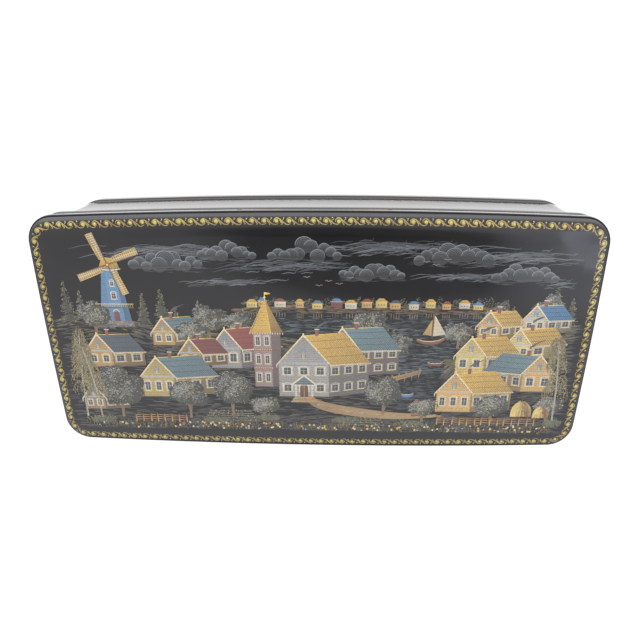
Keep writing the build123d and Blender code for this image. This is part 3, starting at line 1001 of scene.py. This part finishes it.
def meadows(work):
    """The two near banks, in strokes that follow the slopes and leave the black ground between them."""
    bare = mixed(OLIVE, ROSE_GREY, 0.35)[0]
    left = [(-112, 9), (-97, 12), (-84, 10), (-66, 4), (-38, 2.5), (-10, 1), (16, -2), (34, -7)]
    right = [(58, -15), (66, -5), (76, 1), (92, 5), (112, 8)]
    foot = [(-108, -37), (-60, -39), (0, -38), (30, -40), (60, -39), (108, -37)]
    turf(work, left, -46, 2300, INK * 1.6, bare, (2, 8))
    turf(work, left, -12, 600, MOSS, OCHRE * 0.6, (1.5, 5))
    turf(work, right, -46, 1400, INK * 1.6, bare, (2, 7))
    turf(work, right, -8, 380, MOSS, OCHRE * 0.6, (1.5, 5))
    turf(work, foot, -46, 1100, UMBER * 0.4, SAGE * 0.4, (2, 6))
    path = np.array([[(-4.0, -27.0), (-1, -30.5), (6, -33.5), (20, -36.0), (37, -37.6), (58, -37.2)]])
    work.strokes(path, 4.6, TAN * 0.7, PEACH * 0.6, 24, (0.5, 0.05))
    gravel = 160
    spots = smooth_path(path, gravel)[0] + rng.normal(0, (0.6, 0.45), (gravel, 2))
    half = rng.uniform(0.6, 1.8, (gravel, 1)) * (1.0, 0.0)
    tones = mixed(SIENNA, CREAM, rng.uniform(0, 0.7, gravel))
    work.lines(spots - half, spots + half, 0.24, tones, thin=0.2, step=HEAP)
    beds(work, -52, -41.5, 26, 5)
    beds(work, 10, -43.0, 22, 4)


def beds(work, x, y, wide, rows):
    """Garden beds: rows of earth strokes with small leaves and a few heads of cabbage on each."""
    count = int(wide * 1.5)
    for row in range(rows):
        level = y + row * 1.25
        start, end = x + row * 0.8, x + wide - row * 0.8
        work.lines((start, level), (end, level + 0.3), 0.55, SIENNA * 0.55, UMBER, bend=0.01)
        leaf = at(np.linspace(start + 0.4, end - 0.4, count), level + 0.35) + rng.normal(0, 0.12, (count, 2))
        share = rng.uniform(0, 1, count)
        work.dabs(leaf, rng.uniform(0.22, 0.4, count), mixed(OLIVE, SAGE, share), aspect=0.7, step=HEAP)
        work.dabs(leaf[::4] + (0, 0.25), 0.2, mixed(SAGE, STRAW, share[::4]))


def landing(work):
    """A plank landing on posts in the river, three boats beside and behind it, and a well on the bank."""
    near, far = np.array([30.0, -21.0]), np.array([47.0, -15.5])
    near_side, far_side = near + (0.6, 2.6), far + (0.4, 1.9)
    posts = np.linspace(0.05, 0.95, 6)
    for foot in (mixed(near, far, posts), mixed(near_side, far_side, posts)):
        work.lines(foot - (0, 2.4), foot + (0, 1.0), 0.5, SIENNA * 0.5, TAN, thin=(0.7, 0.9))
    work.fill([near, far, far_side, near_side], [TAN * 0.7, TAN * 0.5, PEACH * 0.6, PEACH * 0.8])
    planks = np.linspace(0.02, 0.98, 22)
    work.lines(mixed(near, far, planks), mixed(near_side, far_side, planks), 0.16, UMBER, thin=0.9)
    work.lines(near, far, 0.3, PEACH, TAN, thin=(0.9, 0.7))
    for x, y, long, hue in ((36.0, -27.0, 8.5, SKY_BLUE), (49.5, -11.0, 7.0, BRICK), (27.5, 5.5, 4.6, OCHRE)):
        hull = np.array([(0, 0.9), (0.22, 0.0), (0.75, 0.0), (1.0, 1.1)]) * (long, long * 0.11) + (x, y)
        work.strokes([hull], long * 0.17, hue * 0.6, hue * 0.9, 12)
        work.strokes([hull + (0, long * 0.09)], 0.28, CREAM * 0.9, count=12, thin=0.4)
        seats = at(x + long * np.array([0.35, 0.6]), y + long * 0.1)
        work.lines(seats - (0.5, 0), seats + (0.5, 0.1), 0.34, PEACH)
        glints = at(x + long * rng.uniform(0, 1, 7), y - long * rng.uniform(0.12, 0.3, 7))
        work.lines(glints - (0.9, 0), glints + (0.9, 0), 0.22, PALE_BLUE * 0.3, NIGHT, thin=0.2)
    # The well: its log wall, two posts, a roof, the windlass and the rope
    x, y = 44.0, -37.5
    wall = oblong(x, y, 4.4, 3.0)
    work.fill(wall, [SIENNA * 0.8, SIENNA * 0.5, TAN, TAN * 0.8], 3, 3)
    boards(work, wall, 4, UMBER, PEACH)
    for side in (0.4, 4.0):
        work.lines((x + side, y + 2.6), (x + side, y + 6.6), 0.4, PEACH, TAN, thin=0.9)
    roof = [(x - 1.0, y + 6.2), (x + 5.4, y + 6.2), (x + 2.3, y + 9.0), (x + 2.1, y + 9.0)]
    work.fill(roof, shades(BRICK, 0.7, 0.5, 1.0, 1.0), 3, 4)
    boards(work, roof, 4, UMBER, STRAW)
    work.lines((x + 0.4, y + 5.2), (x + 4.0, y + 5.2), 0.5, CREAM * 0.8, thin=0.9)
    work.lines((x + 2.2, y + 5.1), (x + 2.2, y + 3.2), 0.14, CREAM)


def windmill(work):
    """A smock mill on the hill: boarded body in three lit faces, a cap, and four lattice sails."""
    x, y, tall = -86.0, 8.0, 24.0
    low, high = (-7.2, -3.4, 3.6, 6.6), (-3.6, -1.7, 1.9, 3.3)
    for n, light in enumerate((0.85, 1.0, 0.5)):
        face = [(x + low[n], y), (x + low[n + 1], y), (x + high[n + 1], y + tall), (x + high[n], y + tall)]
        tone = mixed(SKY_BLUE, PALE_BLUE, 0.25)[0] * light
        work.fill(face, shades(tone, 0.7, 0.8, 1.0, 0.95), 5, 3)
        boards(work, face, 6, tone * 0.35, tone * 1.2, upright=True)
        t = np.linspace(0.08, 0.95, 9)
        work.lines(mixed(face[0], face[3], t), mixed(face[1], face[2], t), 0.16, tone * 0.4)
    # Its stone foot
    foot = [(x - 8.0, y - 2.4), (x + 7.6, y - 2.4), (x + 7.2, y + 0.4), (x - 7.6, y + 0.4)]
    work.fill(foot, shades(ROSE_GREY, 0.5, 0.4, 0.8, 1.0))
    stones = at(rng.uniform(x - 7.4, x + 7.0, 46), rng.uniform(y - 2.2, y + 0.2, 46))
    work.dabs(stones, 0.5, mixed(SLATE, CREAM, rng.uniform(0, 0.7, 46)) * 0.8, aspect=0.55)
    # The gallery
    rail = at(x + np.arange(-8.4, 8.4, 0.8), y + 6.6)
    work.lines(rail, rail + (0, 1.7), 0.18, CREAM * 0.8)
    work.lines((x - 8.6, y + 6.6), (x + 8.2, y + 6.6), 0.5, SIENNA, thin=0.9)
    work.lines((x - 8.6, y + 8.3), (x + 8.2, y + 8.3), 0.26, STRAW, thin=0.9, gilded=True)
    # Door and windows
    door = [(x - 1.2, y + 0.4), (x + 1.5, y + 0.4), (x + 1.3, y + 4.8), (x - 1.0, y + 4.8)]
    work.fill(door, [SIENNA, UMBER, BRICK * 0.8, BRICK])
    work.strokes([[(x - 1.4, y + 4.6), (x + 0.15, y + 5.9), (x + 1.7, y + 4.6)]], 0.34, CREAM, thin=0.7)
    windows(work, (x - 1.4, y + 10), (x + 1.6, y + 10), 0.8, 2.3, 1, 0.55, CREAM, NIGHT)
    windows(work, (x - 1.2, y + 16), (x + 1.3, y + 16), 0.6, 1.8, 1, 0.5, CREAM, NIGHT)
    # The cap
    y += tall
    cap = [(x - 4.6, y), (x + 4.4, y), (x + 3.0, y + 4.6), (x - 2.6, y + 5.0)]
    work.fill(cap, shades(OCHRE, 0.6, 0.5, 0.9, 1.2), 5, 5)
    boards(work, cap, 7, OCHRE * 0.4, OCHRE * 1.5, upright=True)
    work.strokes([[(x - 4.9, y - 0.1), (x, y - 0.6), (x + 4.7, y - 0.1)]], 0.5, CREAM, count=10, thin=0.7)
    # The sails, of cloth and gilt lattice between two radii from the hub
    hub = np.array([x - 0.6, y + 1.8])
    inner, outer = 3.0, 14.2
    for turn in 0.32 + np.arange(4) * pi / 2:
        out = np.array([np.cos(turn), np.sin(turn)])
        aside = np.array([-out[1], out[0]])
        start, end = hub + out * inner, hub + out * outer
        sail = [start, end, end + aside * 3.1, start + aside * 2.3]
        work.fill(sail, [CREAM * 0.5, CREAM * 0.62, PEACH * 0.55, PEACH * 0.4], 3, 8)
        work.lines(hub - out * 0.6, hub + out * 14.6, 0.55, SIENNA, SIENNA * 0.8, thin=(1, 0.6))
        rungs = np.linspace(inner, outer, 13)[:, None]
        feet = hub + out * rungs
        work.lines(feet, feet + aside * (2.3 + (rungs - inner) * 0.07), 0.2, STRAW, gilded=True)
        for share in (0.5, 1.0):
            work.lines(start + aside * 2.3 * share, end + aside * 3.1 * share, 0.2, STRAW, gilded=True)
    work.dabs([hub], 0.95, BRICK, size=5)
    work.dabs([hub], 0.42, STRAW, size=5, gilded=True)


def tower(work, x, y, wide, tall, roof_tall, wall, roof, storeys=3):
    """A timber stair tower with a boarded tent roof and a gilded weather vane."""
    turn, right, top = x + wide * 0.66, x + wide, y + tall
    front = oblong(x, y, wide * 0.66, tall)
    work.fill(front, shades(wall, 0.7, 0.85, 1.0, 0.9), 4, 3)
    side = [(turn, y), (right, y + 0.8), (right, top), (turn, top)]
    work.fill(side, shades(wall, 0.3, 0.25, 0.4, 0.45), 4, 3)
    boards(work, front, int(tall), wall * 0.35, wall * 1.25)
    storey = tall / storeys
    for floor in range(storeys):
        foot = y + floor * storey
        head = foot + storey
        windows(work, (x, foot), (turn, foot), storey * 0.3, storey * 0.42, 2, 0.42, CREAM, SLATE * 0.5)
        work.lines((x - 0.3, head), (right + 0.2, head), 0.42, BRICK, BRICK * 0.7, thin=0.9)
        work.dabs(at(np.linspace(x, turn, 9), head + 0.35), 0.2, STRAW, gilded=True)
    # The roof: a flared skirt up to its knee, and a tent over it, each with a lit and a dark slope
    peak = np.array([x + wide * 0.48, top + roof_tall])
    eave = top - 0.6
    knee = top + roof_tall * 0.12
    knees = (x + 0.2, knee), (x + wide * 0.62, knee), (right - 0.1, knee + 0.4)
    corners = (x - 1.5, eave), (turn, eave), (right + 1.2, eave + 0.6)
    work.fill([*corners[:2], knees[1], knees[0]], shades(roof, 0.8, 0.9, 1.0, 1.0))
    work.fill([*knees[:2], peak + (0.15, 0), peak - (0.1, 0)], shades(roof, 1.0, 1.1, 1.2, 1.0), 6, 3)
    work.fill([*corners[1:], knees[2], knees[1]], roof * 0.4)
    work.fill([*knees[1:], peak + (0.3, 0), peak + (0.15, 0)], shades(roof, 0.5, 0.4, 0.7, 0.7), 6, 3)
    boards(work, [*knees[:2], peak, peak], 11, roof * 0.35, roof * 1.5)
    fringe = np.linspace(x - 1.3, right + 1.0, 14)
    work.lines(at(fringe, eave + 0.1), at(fringe, eave - 0.9), 0.42, CREAM, OCHRE, thin=(1, 0.2))
    for foot in corners[:2]:
        work.lines(foot, peak, 0.22, STRAW, OCHRE, thin=(0.9, 0.5), gilded=True)
    work.lines(peak - (0, 0.2), peak + (0, 3.2), 0.3, STRAW, gilded=True)
    work.dabs([peak + (0, 0.9)], 0.5, STRAW, size=5, gilded=True)
    vane = peak + np.array([(0.1, 2.0), (2.4, 2.3), (2.4, 2.8), (0.1, 3.2)])
    work.fill(vane, [STRAW, OCHRE, OCHRE, STRAW], gilded=True)


def manor(work):
    """The timber manor in the middle: two wings, a stair tower, and a porch with steps."""
    log_house(work, -46, -14, 13, 10, 8.5, 18, 2.5, PALE_STONE * 0.8, BRICK, 2, 3)
    log_house(work, 5, -17, 14, 13, 9.5, 18, 1.5, ROSE_STONE, TEAL_GREY, 2, 3, storeys=2)
    tower(work, -27, -23, 12, 27, 15, ROSE_STONE, OCHRE * 1.05)
    log_house(work, -16, -28, 22, 17, 13, 18, 2.5, PALE_STONE * 0.92, OCHRE, 3, 3, storeys=2)
    # The porch, 8 mm wide: steps, two turned posts, a door and a boarded hood
    x, y = -9.0, -28.0
    for step in range(5):
        tread = oblong(x - step * 0.5, y - step * 0.75, 8 + step, 0.6)
        work.fill(tread, [TAN * 0.8, TAN * 0.6, PEACH, CREAM * 0.8])
    for post in (x + 0.3, x + 7.7):
        work.lines((post, y), (post, y + 6.4), 0.8, CREAM * 0.8, CREAM, thin=1)
        turned = at(post, y + np.array([1.4, 3.2, 5.0]))
        work.dabs(turned, 0.62, CREAM)
        work.dabs(turned, 0.3, SKY_BLUE)
    work.fill(oblong(x + 2.2, y, 3.6, 5.4), [UMBER, UMBER * 0.7, SIENNA, SIENNA * 1.2])
    work.lines((x + 4.0, y), (x + 4.0, y + 5.4), 0.2, OCHRE, gilded=True)
    hood = np.array([(x - 1.2, y + 6.2), (x + 9.2, y + 6.2), (x + 4.2, y + 10.4), (x + 3.8, y + 10.4)])
    work.fill(hood, shades(TEAL_GREY, 0.6, 0.5, 1.0, 1.2), 4, 5)
    boards(work, hood, 5, TEAL_GREY * 0.3, TEAL_GREY * 1.6)
    for foot in hood[:2]:
        work.lines(foot, (x + 4, y + 10.7), 0.5, CREAM, thin=0.9)
        work.lines(foot + (0, 0.4), (x + 4, y + 11.1), 0.2, STRAW, gilded=True)
    work.dabs(at(np.linspace(x - 0.8, x + 8.8, 15), y + 5.9), 0.26, CREAM)


def left_village(work):
    """Log houses below the mill, nearer ones over farther ones."""
    log_house(work, -71, -3, 9, 6.5, 6, 13, 1.5, PEACH * 0.75, TEAL_GREY * 0.85)
    log_house(work, -60, -13, 9, 6.5, 6.2, 12, 1.0, OCHRE * 0.68, BRICK * 0.75)
    log_house(work, -102, -14, 11, 8, 7.5, 15, 1.0, PEACH * 0.78, SLATE)
    log_house(work, -79, -29, 15, 10.5, 9, 20, 2.2, STRAW * 0.67, TEAL_GREY * 0.9, 3, 3)
    log_house(work, -107, -36, 9, 6.5, 6, 12, 0.8, TAN * 0.9, BRICK * 0.85)


def right_village(work):
    """The street of log houses that climbs the right bank, and two haystacks."""
    log_house(work, 70, 2, 9, 6, 5.5, 11, 1.2, PEACH * 0.9, OCHRE)
    log_house(work, 89, 5, 9, 6, 5.6, 11, 0.8, CREAM * 0.8, SKY_BLUE * 0.8)
    log_house(work, 83, -8, 10, 7.2, 6.5, 15, 1.5, STRAW, OCHRE * 0.95)
    log_house(work, 62, -15, 12, 9, 7.5, 15, 1.5, STRAW * 0.9, OCHRE)
    log_house(work, 92, -24, 13, 9.5, 8, -17, 2.0, PEACH, TEAL_GREY, 2, 3)
    log_house(work, 55, -35, 15, 10.5, 9, 18, 1.8, PEACH * 1.05, OCHRE * 1.05, 3, 3)
    for x, y, wide, tall in ((93.5, -37.0, 9.0, 8.5), (102.5, -37.5, 7.0, 6.5)):
        stems = 150
        turn = rng.uniform(0, pi, stems)
        spread = rng.uniform(0, 1, stems)
        foot = at(x + wide / 2 * np.cos(turn), y + 0.3 * spread)
        head = at(x + wide * 0.1 * np.cos(turn), y + tall * (0.35 + 0.65 * spread))
        lit = np.clip(0.5 - 0.4 * np.cos(turn) + rng.uniform(-0.3, 0.4, stems), 0, 1)
        tones = mixed(SIENNA * 0.7, STRAW, lit), mixed(SIENNA, STRAW, lit)
        work.lines(foot, head, 0.5, *tones, bend=-0.16 * np.cos(turn), thin=(0.7, 0.3), step=HEAP)
        work.lines((x, y + tall - 0.8), (x, y + tall + 1.8), 0.3, SIENNA)


def far_trees(work):
    """Firs and broad trees behind the houses."""
    for place in (
        (-107, 8, 19, 9), (-101, 9, 14, 7.5), (-74, 6, 16, 8), (-66, 4, 20, 9.5), (-60, 3, 13, 7),
        (-50, 1, 18, 8.5), (-31, 0, 15, 8), (28, -4, 16, 8.5), (34, -6, 12, 7), (65, -4, 12, 6.5),
        (81, 5, 15, 8), (84, 6, 11, 6), (101, 8, 18, 9), (108, 7, 14, 8),
    ):
        fir(work, *place)
    for place in (
        (-46, 0, 16, 14), (-34, -1, 15, 13), (24, -3, 17, 15), (36, -9, 12, 12), (62, -3, 13, 12),
        (78, 3, 14, 12), (98, 7, 15, 13), (-96, 2, 15, 14), (-55, -4, 13, 12),
    ):
        leafy_tree(work, *place, (MOSS * 0.7, OLIVE * 0.75, ASH))


def near_trees(work):
    """The trees in front: a birch grove on the left, broad trees between the houses, a birch on the right."""
    for x, y, tall, wide in (
        (-90, -40, 26, 23), (-58, -40, 19, 18), (-38, -38, 22, 19), (-24, -41, 13, 14), (31, -37, 19, 17),
        (49, -40, 13, 13), (80, -41, 14, 15), (105, -41, 15, 13),
    ):
        leafy_tree(work, x, y, tall, wide, (MOSS * 0.6, OLIVE * 0.6, ASH), int(wide * 1.2))
    for place in ((-107, -40, 44, 3), (-100, -42, 38, -4), (108, -39, 40, -3)):
        birch(work, *place)


def foreground(work):
    """Two rail fences, bushes, and grasses and flowers along the foot of the picture."""
    for low, high, level in ((56, 103, -41.5), (-84, -58, -42.0)):
        posts = at(np.arange(low, high, 3.4), level)
        posts = posts + rng.normal(0, 0.15, posts.shape)
        for rail in (1.0, 2.2, 3.2):
            ends = posts[:-1] + (0, rail), posts[1:] + (0.4, rail + 0.1)
            work.lines(*ends, 0.36, PEACH * 0.85, BRICK, thin=(0.8, 0.6))
        work.lines(posts - (0, 0.4), posts + (0, 4.2), 0.55, PEACH, SIENNA, thin=(0.9, 0.7))
    for x, y, wide, tall in (
        (-100, -42, 8, 3), (-46, -42, 9, 3.4), (-22, -40, 7, 3), (14, -41, 8, 2.6), (44, -42, 9, 3),
        (108, -41, 5, 4),
    ):
        twigs = 170
        foot = scatter(twigs, x, y, wide * 0.8, tall * 0.5)
        turn = rng.uniform(0.15 * pi, 0.85 * pi, twigs)
        tip = foot + at(np.cos(turn), np.sin(turn)) * rng.uniform(1.0, 2.6, (twigs, 1))
        share = rng.uniform(0, 1, twigs)
        tones = mixed(MOSS, OLIVE, share), mixed(OLIVE, SAGE, share)
        widths = rng.uniform(0.2, 0.4, twigs)
        work.lines(foot, tip, widths, *tones, bend=rng.normal(0, 0.15, twigs), thin=(0.5, 0.1), step=HEAP)
    blades = 650
    foot = at(rng.uniform(-108, 108, blades), rng.uniform(-46.5, -43.5, blades))
    tip = foot + at(rng.normal(0, 0.7, blades), rng.uniform(0.8, 3.2, blades))
    share = rng.uniform(0, 1, blades)
    tones = mixed(MOSS, OLIVE, share) * 0.7, mixed(OLIVE, OCHRE, share) * 0.8
    work.lines(foot, tip, 0.24, *tones, bend=rng.normal(0, 0.12, blades), thin=(0.6, 0.1), step=HEAP)
    flowers, petals = 130, 5
    heads = at(rng.uniform(-106, 106, flowers), rng.uniform(-45.5, -42.0, flowers))
    hues = np.array([BRICK * 1.3, SKY_BLUE, STRAW, CREAM, PEACH])[rng.integers(0, 5, flowers)]
    for turn in np.arange(petals) * 2 * pi / petals:
        work.dabs(heads + 0.34 * at(np.cos(turn), np.sin(turn)), 0.24, hues, aspect=0.7, turn=turn)
    work.dabs(heads, 0.18, STRAW, gilded=True)


scroll_border()
coat("lid_lacquer_coat", lid_edge(), "lid")
coat("wall_lacquer_coat", wall_side - (coat_depth, 0), "body")
wall_line()

# The picture's layers in the order of painting, and how far over the lid each starts, in millimetres
layers = {
    sky: 0.01, far_shore: 0.022, river: 0.012, meadows: 0.034, far_trees: 0.046, landing: 0.075,
    windmill: 0.09, left_village: 0.09, manor: 0.09, right_village: 0.09, near_trees: 0.165,
    foreground: 0.195,
}


def paint_picture():
    """The picture, each layer a piece of its own that is named for what it shows."""
    for layer, level in layers.items():
        work = Brushwork(level)
        layer(work)
        work.piece("painted_" + layer.__name__)


paint_picture()

# The room: its levels at distances from an oval's middle, in ovals, and from front to back, at shares
# of the way from the middle. The three are multiplied, and a ramp holds no more than one, so each is
# halved and the whole made eight times as bright. The window's levels lie at distances from its middle.
room_oval = ((0.065, -0.245), -0.05, (0.28, 0.1))
room_levels = ((0.0, 0.4), (0.85, 0.44), (1.0, 0.75), (1.2, 1.05), (3.0, 1.15), (6.0, 1.25), (8.0, 1.3))
dark_oval = ((0.03, -0.13), -0.1, (0.33, 0.12))
dark_levels = ((0.0, 0.2), (0.65, 0.26), (0.85, 0.55), (1.0, 0.85), (1.4, 1.0), (2.5, 1.0))
front_to_back = (
    (-1.0, 0.25), (-0.88, 0.45), (-0.82, 1.15), (-0.56, 1.3), (-0.38, 1.25), (-0.2, 1.05),
    (-0.05, 1.1), (0.15, 1.3), (0.4, 1.9), (0.62, 2.9), (0.85, 3.0), (1.0, 2.4),
)
room_strength = 8.0
window_place = (0.55, -0.125)
window_size = (1.02, 0.78)
window_levels = (
    (0.0, 0.5), (0.07, 0.6), (0.157, 0.92), (0.164, 0.3), (0.234, 0.26), (0.275, 0.06), (0.45, 0.0),
)
window_tint = np.array([0.78, 0.85, 1.0])
window_strength = 2.6
WHITE = (1.0, 1.0, 1.0, 1.0)

scene = bpy.context.scene
scene.view_settings.view_transform = "Standard"
camera_data = bpy.data.cameras.new("camera")
camera_data.lens = camera_lens
camera_data.sensor_width = 36.0
camera_data.clip_start = 0.005
camera = bpy.data.objects.new("camera", camera_data)
camera.location = np.array(camera_place) * MM
camera.rotation_euler = [radians(turn) for turn in camera_turn]
scene.collection.objects.link(camera)
scene.camera = camera


def oval(tree, towards, place, levels):
    """Half the level at a direction's distance from an oval's middle. A little blue goes with it.

    The distance is measured on turned axes, in reaches, with the direction's height left out.
    """
    middle, turn, reach = place
    span = levels[-1][0]
    sockets = {
        "Vector": towards,
        "Location": (*middle, 0.0),
        "Rotation": (0.0, 0.0, turn),
        "Scale": (reach[0] * span, reach[1] * span, 0.0),
    }
    placed = add_node(tree, "Mapping", sockets, vector_type="TEXTURE")
    distance = add_node(tree, "VectorMath", (placed,), "Value", operation="LENGTH")
    stops = [(far / span, (level / 2, level / 2, level / 1.96)) for far, level in levels]
    return add_node(tree, "ValToRGB", {"Fac": distance}, "Color", stops)


def room_light():
    """The room that the lacquer mirrors, as a brightness for each direction.

    Overhead is whoever holds the camera: two dark ovals with soft edges, outside which the brightness
    climbs. It is brightest towards the ceiling lamps behind the hinge. A window glows on the right.
    """
    world = bpy.data.worlds.new("pale_room")
    scene.world = world
    world.use_nodes = True
    tree = world.node_tree
    tree.nodes.clear()
    towards = add_node(tree, "TexCoord", output="Generated")
    ahead = add_node(tree, "SeparateXYZ", {"Vector": towards}, "Y")
    spread = add_node(tree, "Math", (ahead, 0.5, 0.5), operation="MULTIPLY_ADD")
    tilt = [(0.5 + place / 2, [level / 2] * 3) for place, level in front_to_back]
    lit = oval(tree, towards, room_oval, room_levels)
    for factor in (
        oval(tree, towards, dark_oval, dark_levels),
        add_node(tree, "ValToRGB", {"Fac": spread}, "Color", tilt),
    ):
        lit = add_node(tree, "Mix", {0: 1.0, 6: lit, 7: factor}, 2, data_type="RGBA", blend_type="MULTIPLY")
    # The window is a rounded rectangle: the eighth root of the sum of its axes' eighth powers
    sockets = {"Vector": towards, "Location": (*window_place, 0.0), "Scale": (*window_size, 0.0)}
    pane = add_node(tree, "Mapping", sockets, vector_type="TEXTURE")
    squared = add_node(tree, "VectorMath", (pane, pane), operation="MULTIPLY")
    fourth = add_node(tree, "VectorMath", (squared, squared), operation="MULTIPLY")
    eighth = add_node(tree, "VectorMath", (fourth, fourth), "Value", operation="DOT_PRODUCT")
    distance = add_node(tree, "Math", (eighth, 1 / 8), operation="POWER")
    glow = [(place, window_tint * level) for place, level in window_levels]
    glow = add_node(tree, "ValToRGB", {"Fac": distance}, "Color", glow)
    room = add_node(tree, "Background", {"Color": lit, "Strength": room_strength})
    window = add_node(tree, "Background", {"Color": glow, "Strength": window_strength})
    mirrored = add_node(tree, "AddShader", (room, window))
    backdrop = add_node(tree, "Background", {"Color": WHITE, "Strength": 1.0})
    seen = add_node(tree, "LightPath", output="Is Camera Ray")
    both = add_node(tree, "MixShader", (seen, mirrored, backdrop))
    add_node(tree, "OutputWorld", {"Surface": both}, None)


def ceiling_lamp():
    """A wide soft lamp over the box's left shoulder, which gives the forms a light and a dark side."""
    data = bpy.data.lights.new("ceiling_lamp", "AREA")
    data.shape = "DISK"
    data.size = 0.9
    data.energy = 2.2
    lamp = bpy.data.objects.new("ceiling_lamp", data)
    lamp.location = (-1.1, 0.7, 1.3)
    lamp.rotation_euler = (-lamp.location).to_track_quat("-Z", "Y").to_euler()
    scene.collection.objects.link(lamp)


def pale_floor():
    """A white sheet under the box. The camera sees most of it as even white, under a faint shadow.

    In the lacquer the sheet shows a painted pool of light just behind the box, and painted shade all round.
    """
    even_white = 0.82
    # The sheet's levels in the lacquer: painted shade all round, and the painted light added behind the box
    mirrored_painted_shade, mirrored_painted_light = 0.25, 1.13
    half = 3000.0
    material, tree = new_material("white_paper_sweep")
    path = add_node(tree, "LightPath", output=None)
    glossy = path["Is Glossy Ray"]
    rays = path["Is Camera Ray"], path["Is Transmission Ray"]
    straight = add_node(tree, "Math", rays, operation="MAXIMUM")
    even = add_node(tree, "Math", (straight, even_white), operation="MULTIPLY")
    share = add_node(tree, "Math", (even, glossy), operation="MAXIMUM")
    place = add_node(tree, "TexCoord", output="Object")
    spot = add_node(tree, "SeparateXYZ", {"Vector": place}, None)
    aside = add_node(tree, "Math", (spot["X"],), operation="ABSOLUTE")
    # The painted pool of light climbs without a corner from each place of painted shade, in metres,
    # to the bright one: it begins under the box, ends behind it, and ends beside its short sides
    glow = None
    for value, dark, bright in ((spot["Y"], -0.07, 0.05), (spot["Y"], 0.12, 0.085), (aside, 0.16, 0.125)):
        reach = {"Value": value, "From Min": dark, "From Max": bright}
        climb = add_node(tree, "MapRange", reach, "Result", interpolation_type="SMOOTHSTEP")
        glow = add_node(tree, "Math", (glow, climb), operation="MULTIPLY") if glow else climb
    sockets = (glow, mirrored_painted_light, mirrored_painted_shade - 1.0)
    change = add_node(tree, "Math", sockets, operation="MULTIPLY_ADD")
    strength = add_node(tree, "Math", (glossy, change, 1.0), operation="MULTIPLY_ADD")
    paper = add_node(tree, "BsdfDiffuse", {"Color": (*linear("#F4F4F2"), 1.0)})
    white = add_node(tree, "Emission", {"Color": WHITE, "Strength": strength})
    seen = add_node(tree, "MixShader", (share, paper, white))
    add_node(tree, "OutputMaterial", {"Surface": seen}, None)
    corners = np.array([(-half, -half, 0), (half, -half, 0), (half, half, 0), (-half, half, 0)])
    mesh = bpy.data.meshes.new("floor")
    mesh.from_pydata((corners * MM).tolist(), [], [(0, 1, 2, 3)])
    mesh.materials.append(material)
    sheet = bpy.data.objects.new("floor", mesh)
    scene.collection.objects.link(sheet)


room_light()
ceiling_lamp()
pale_floor()
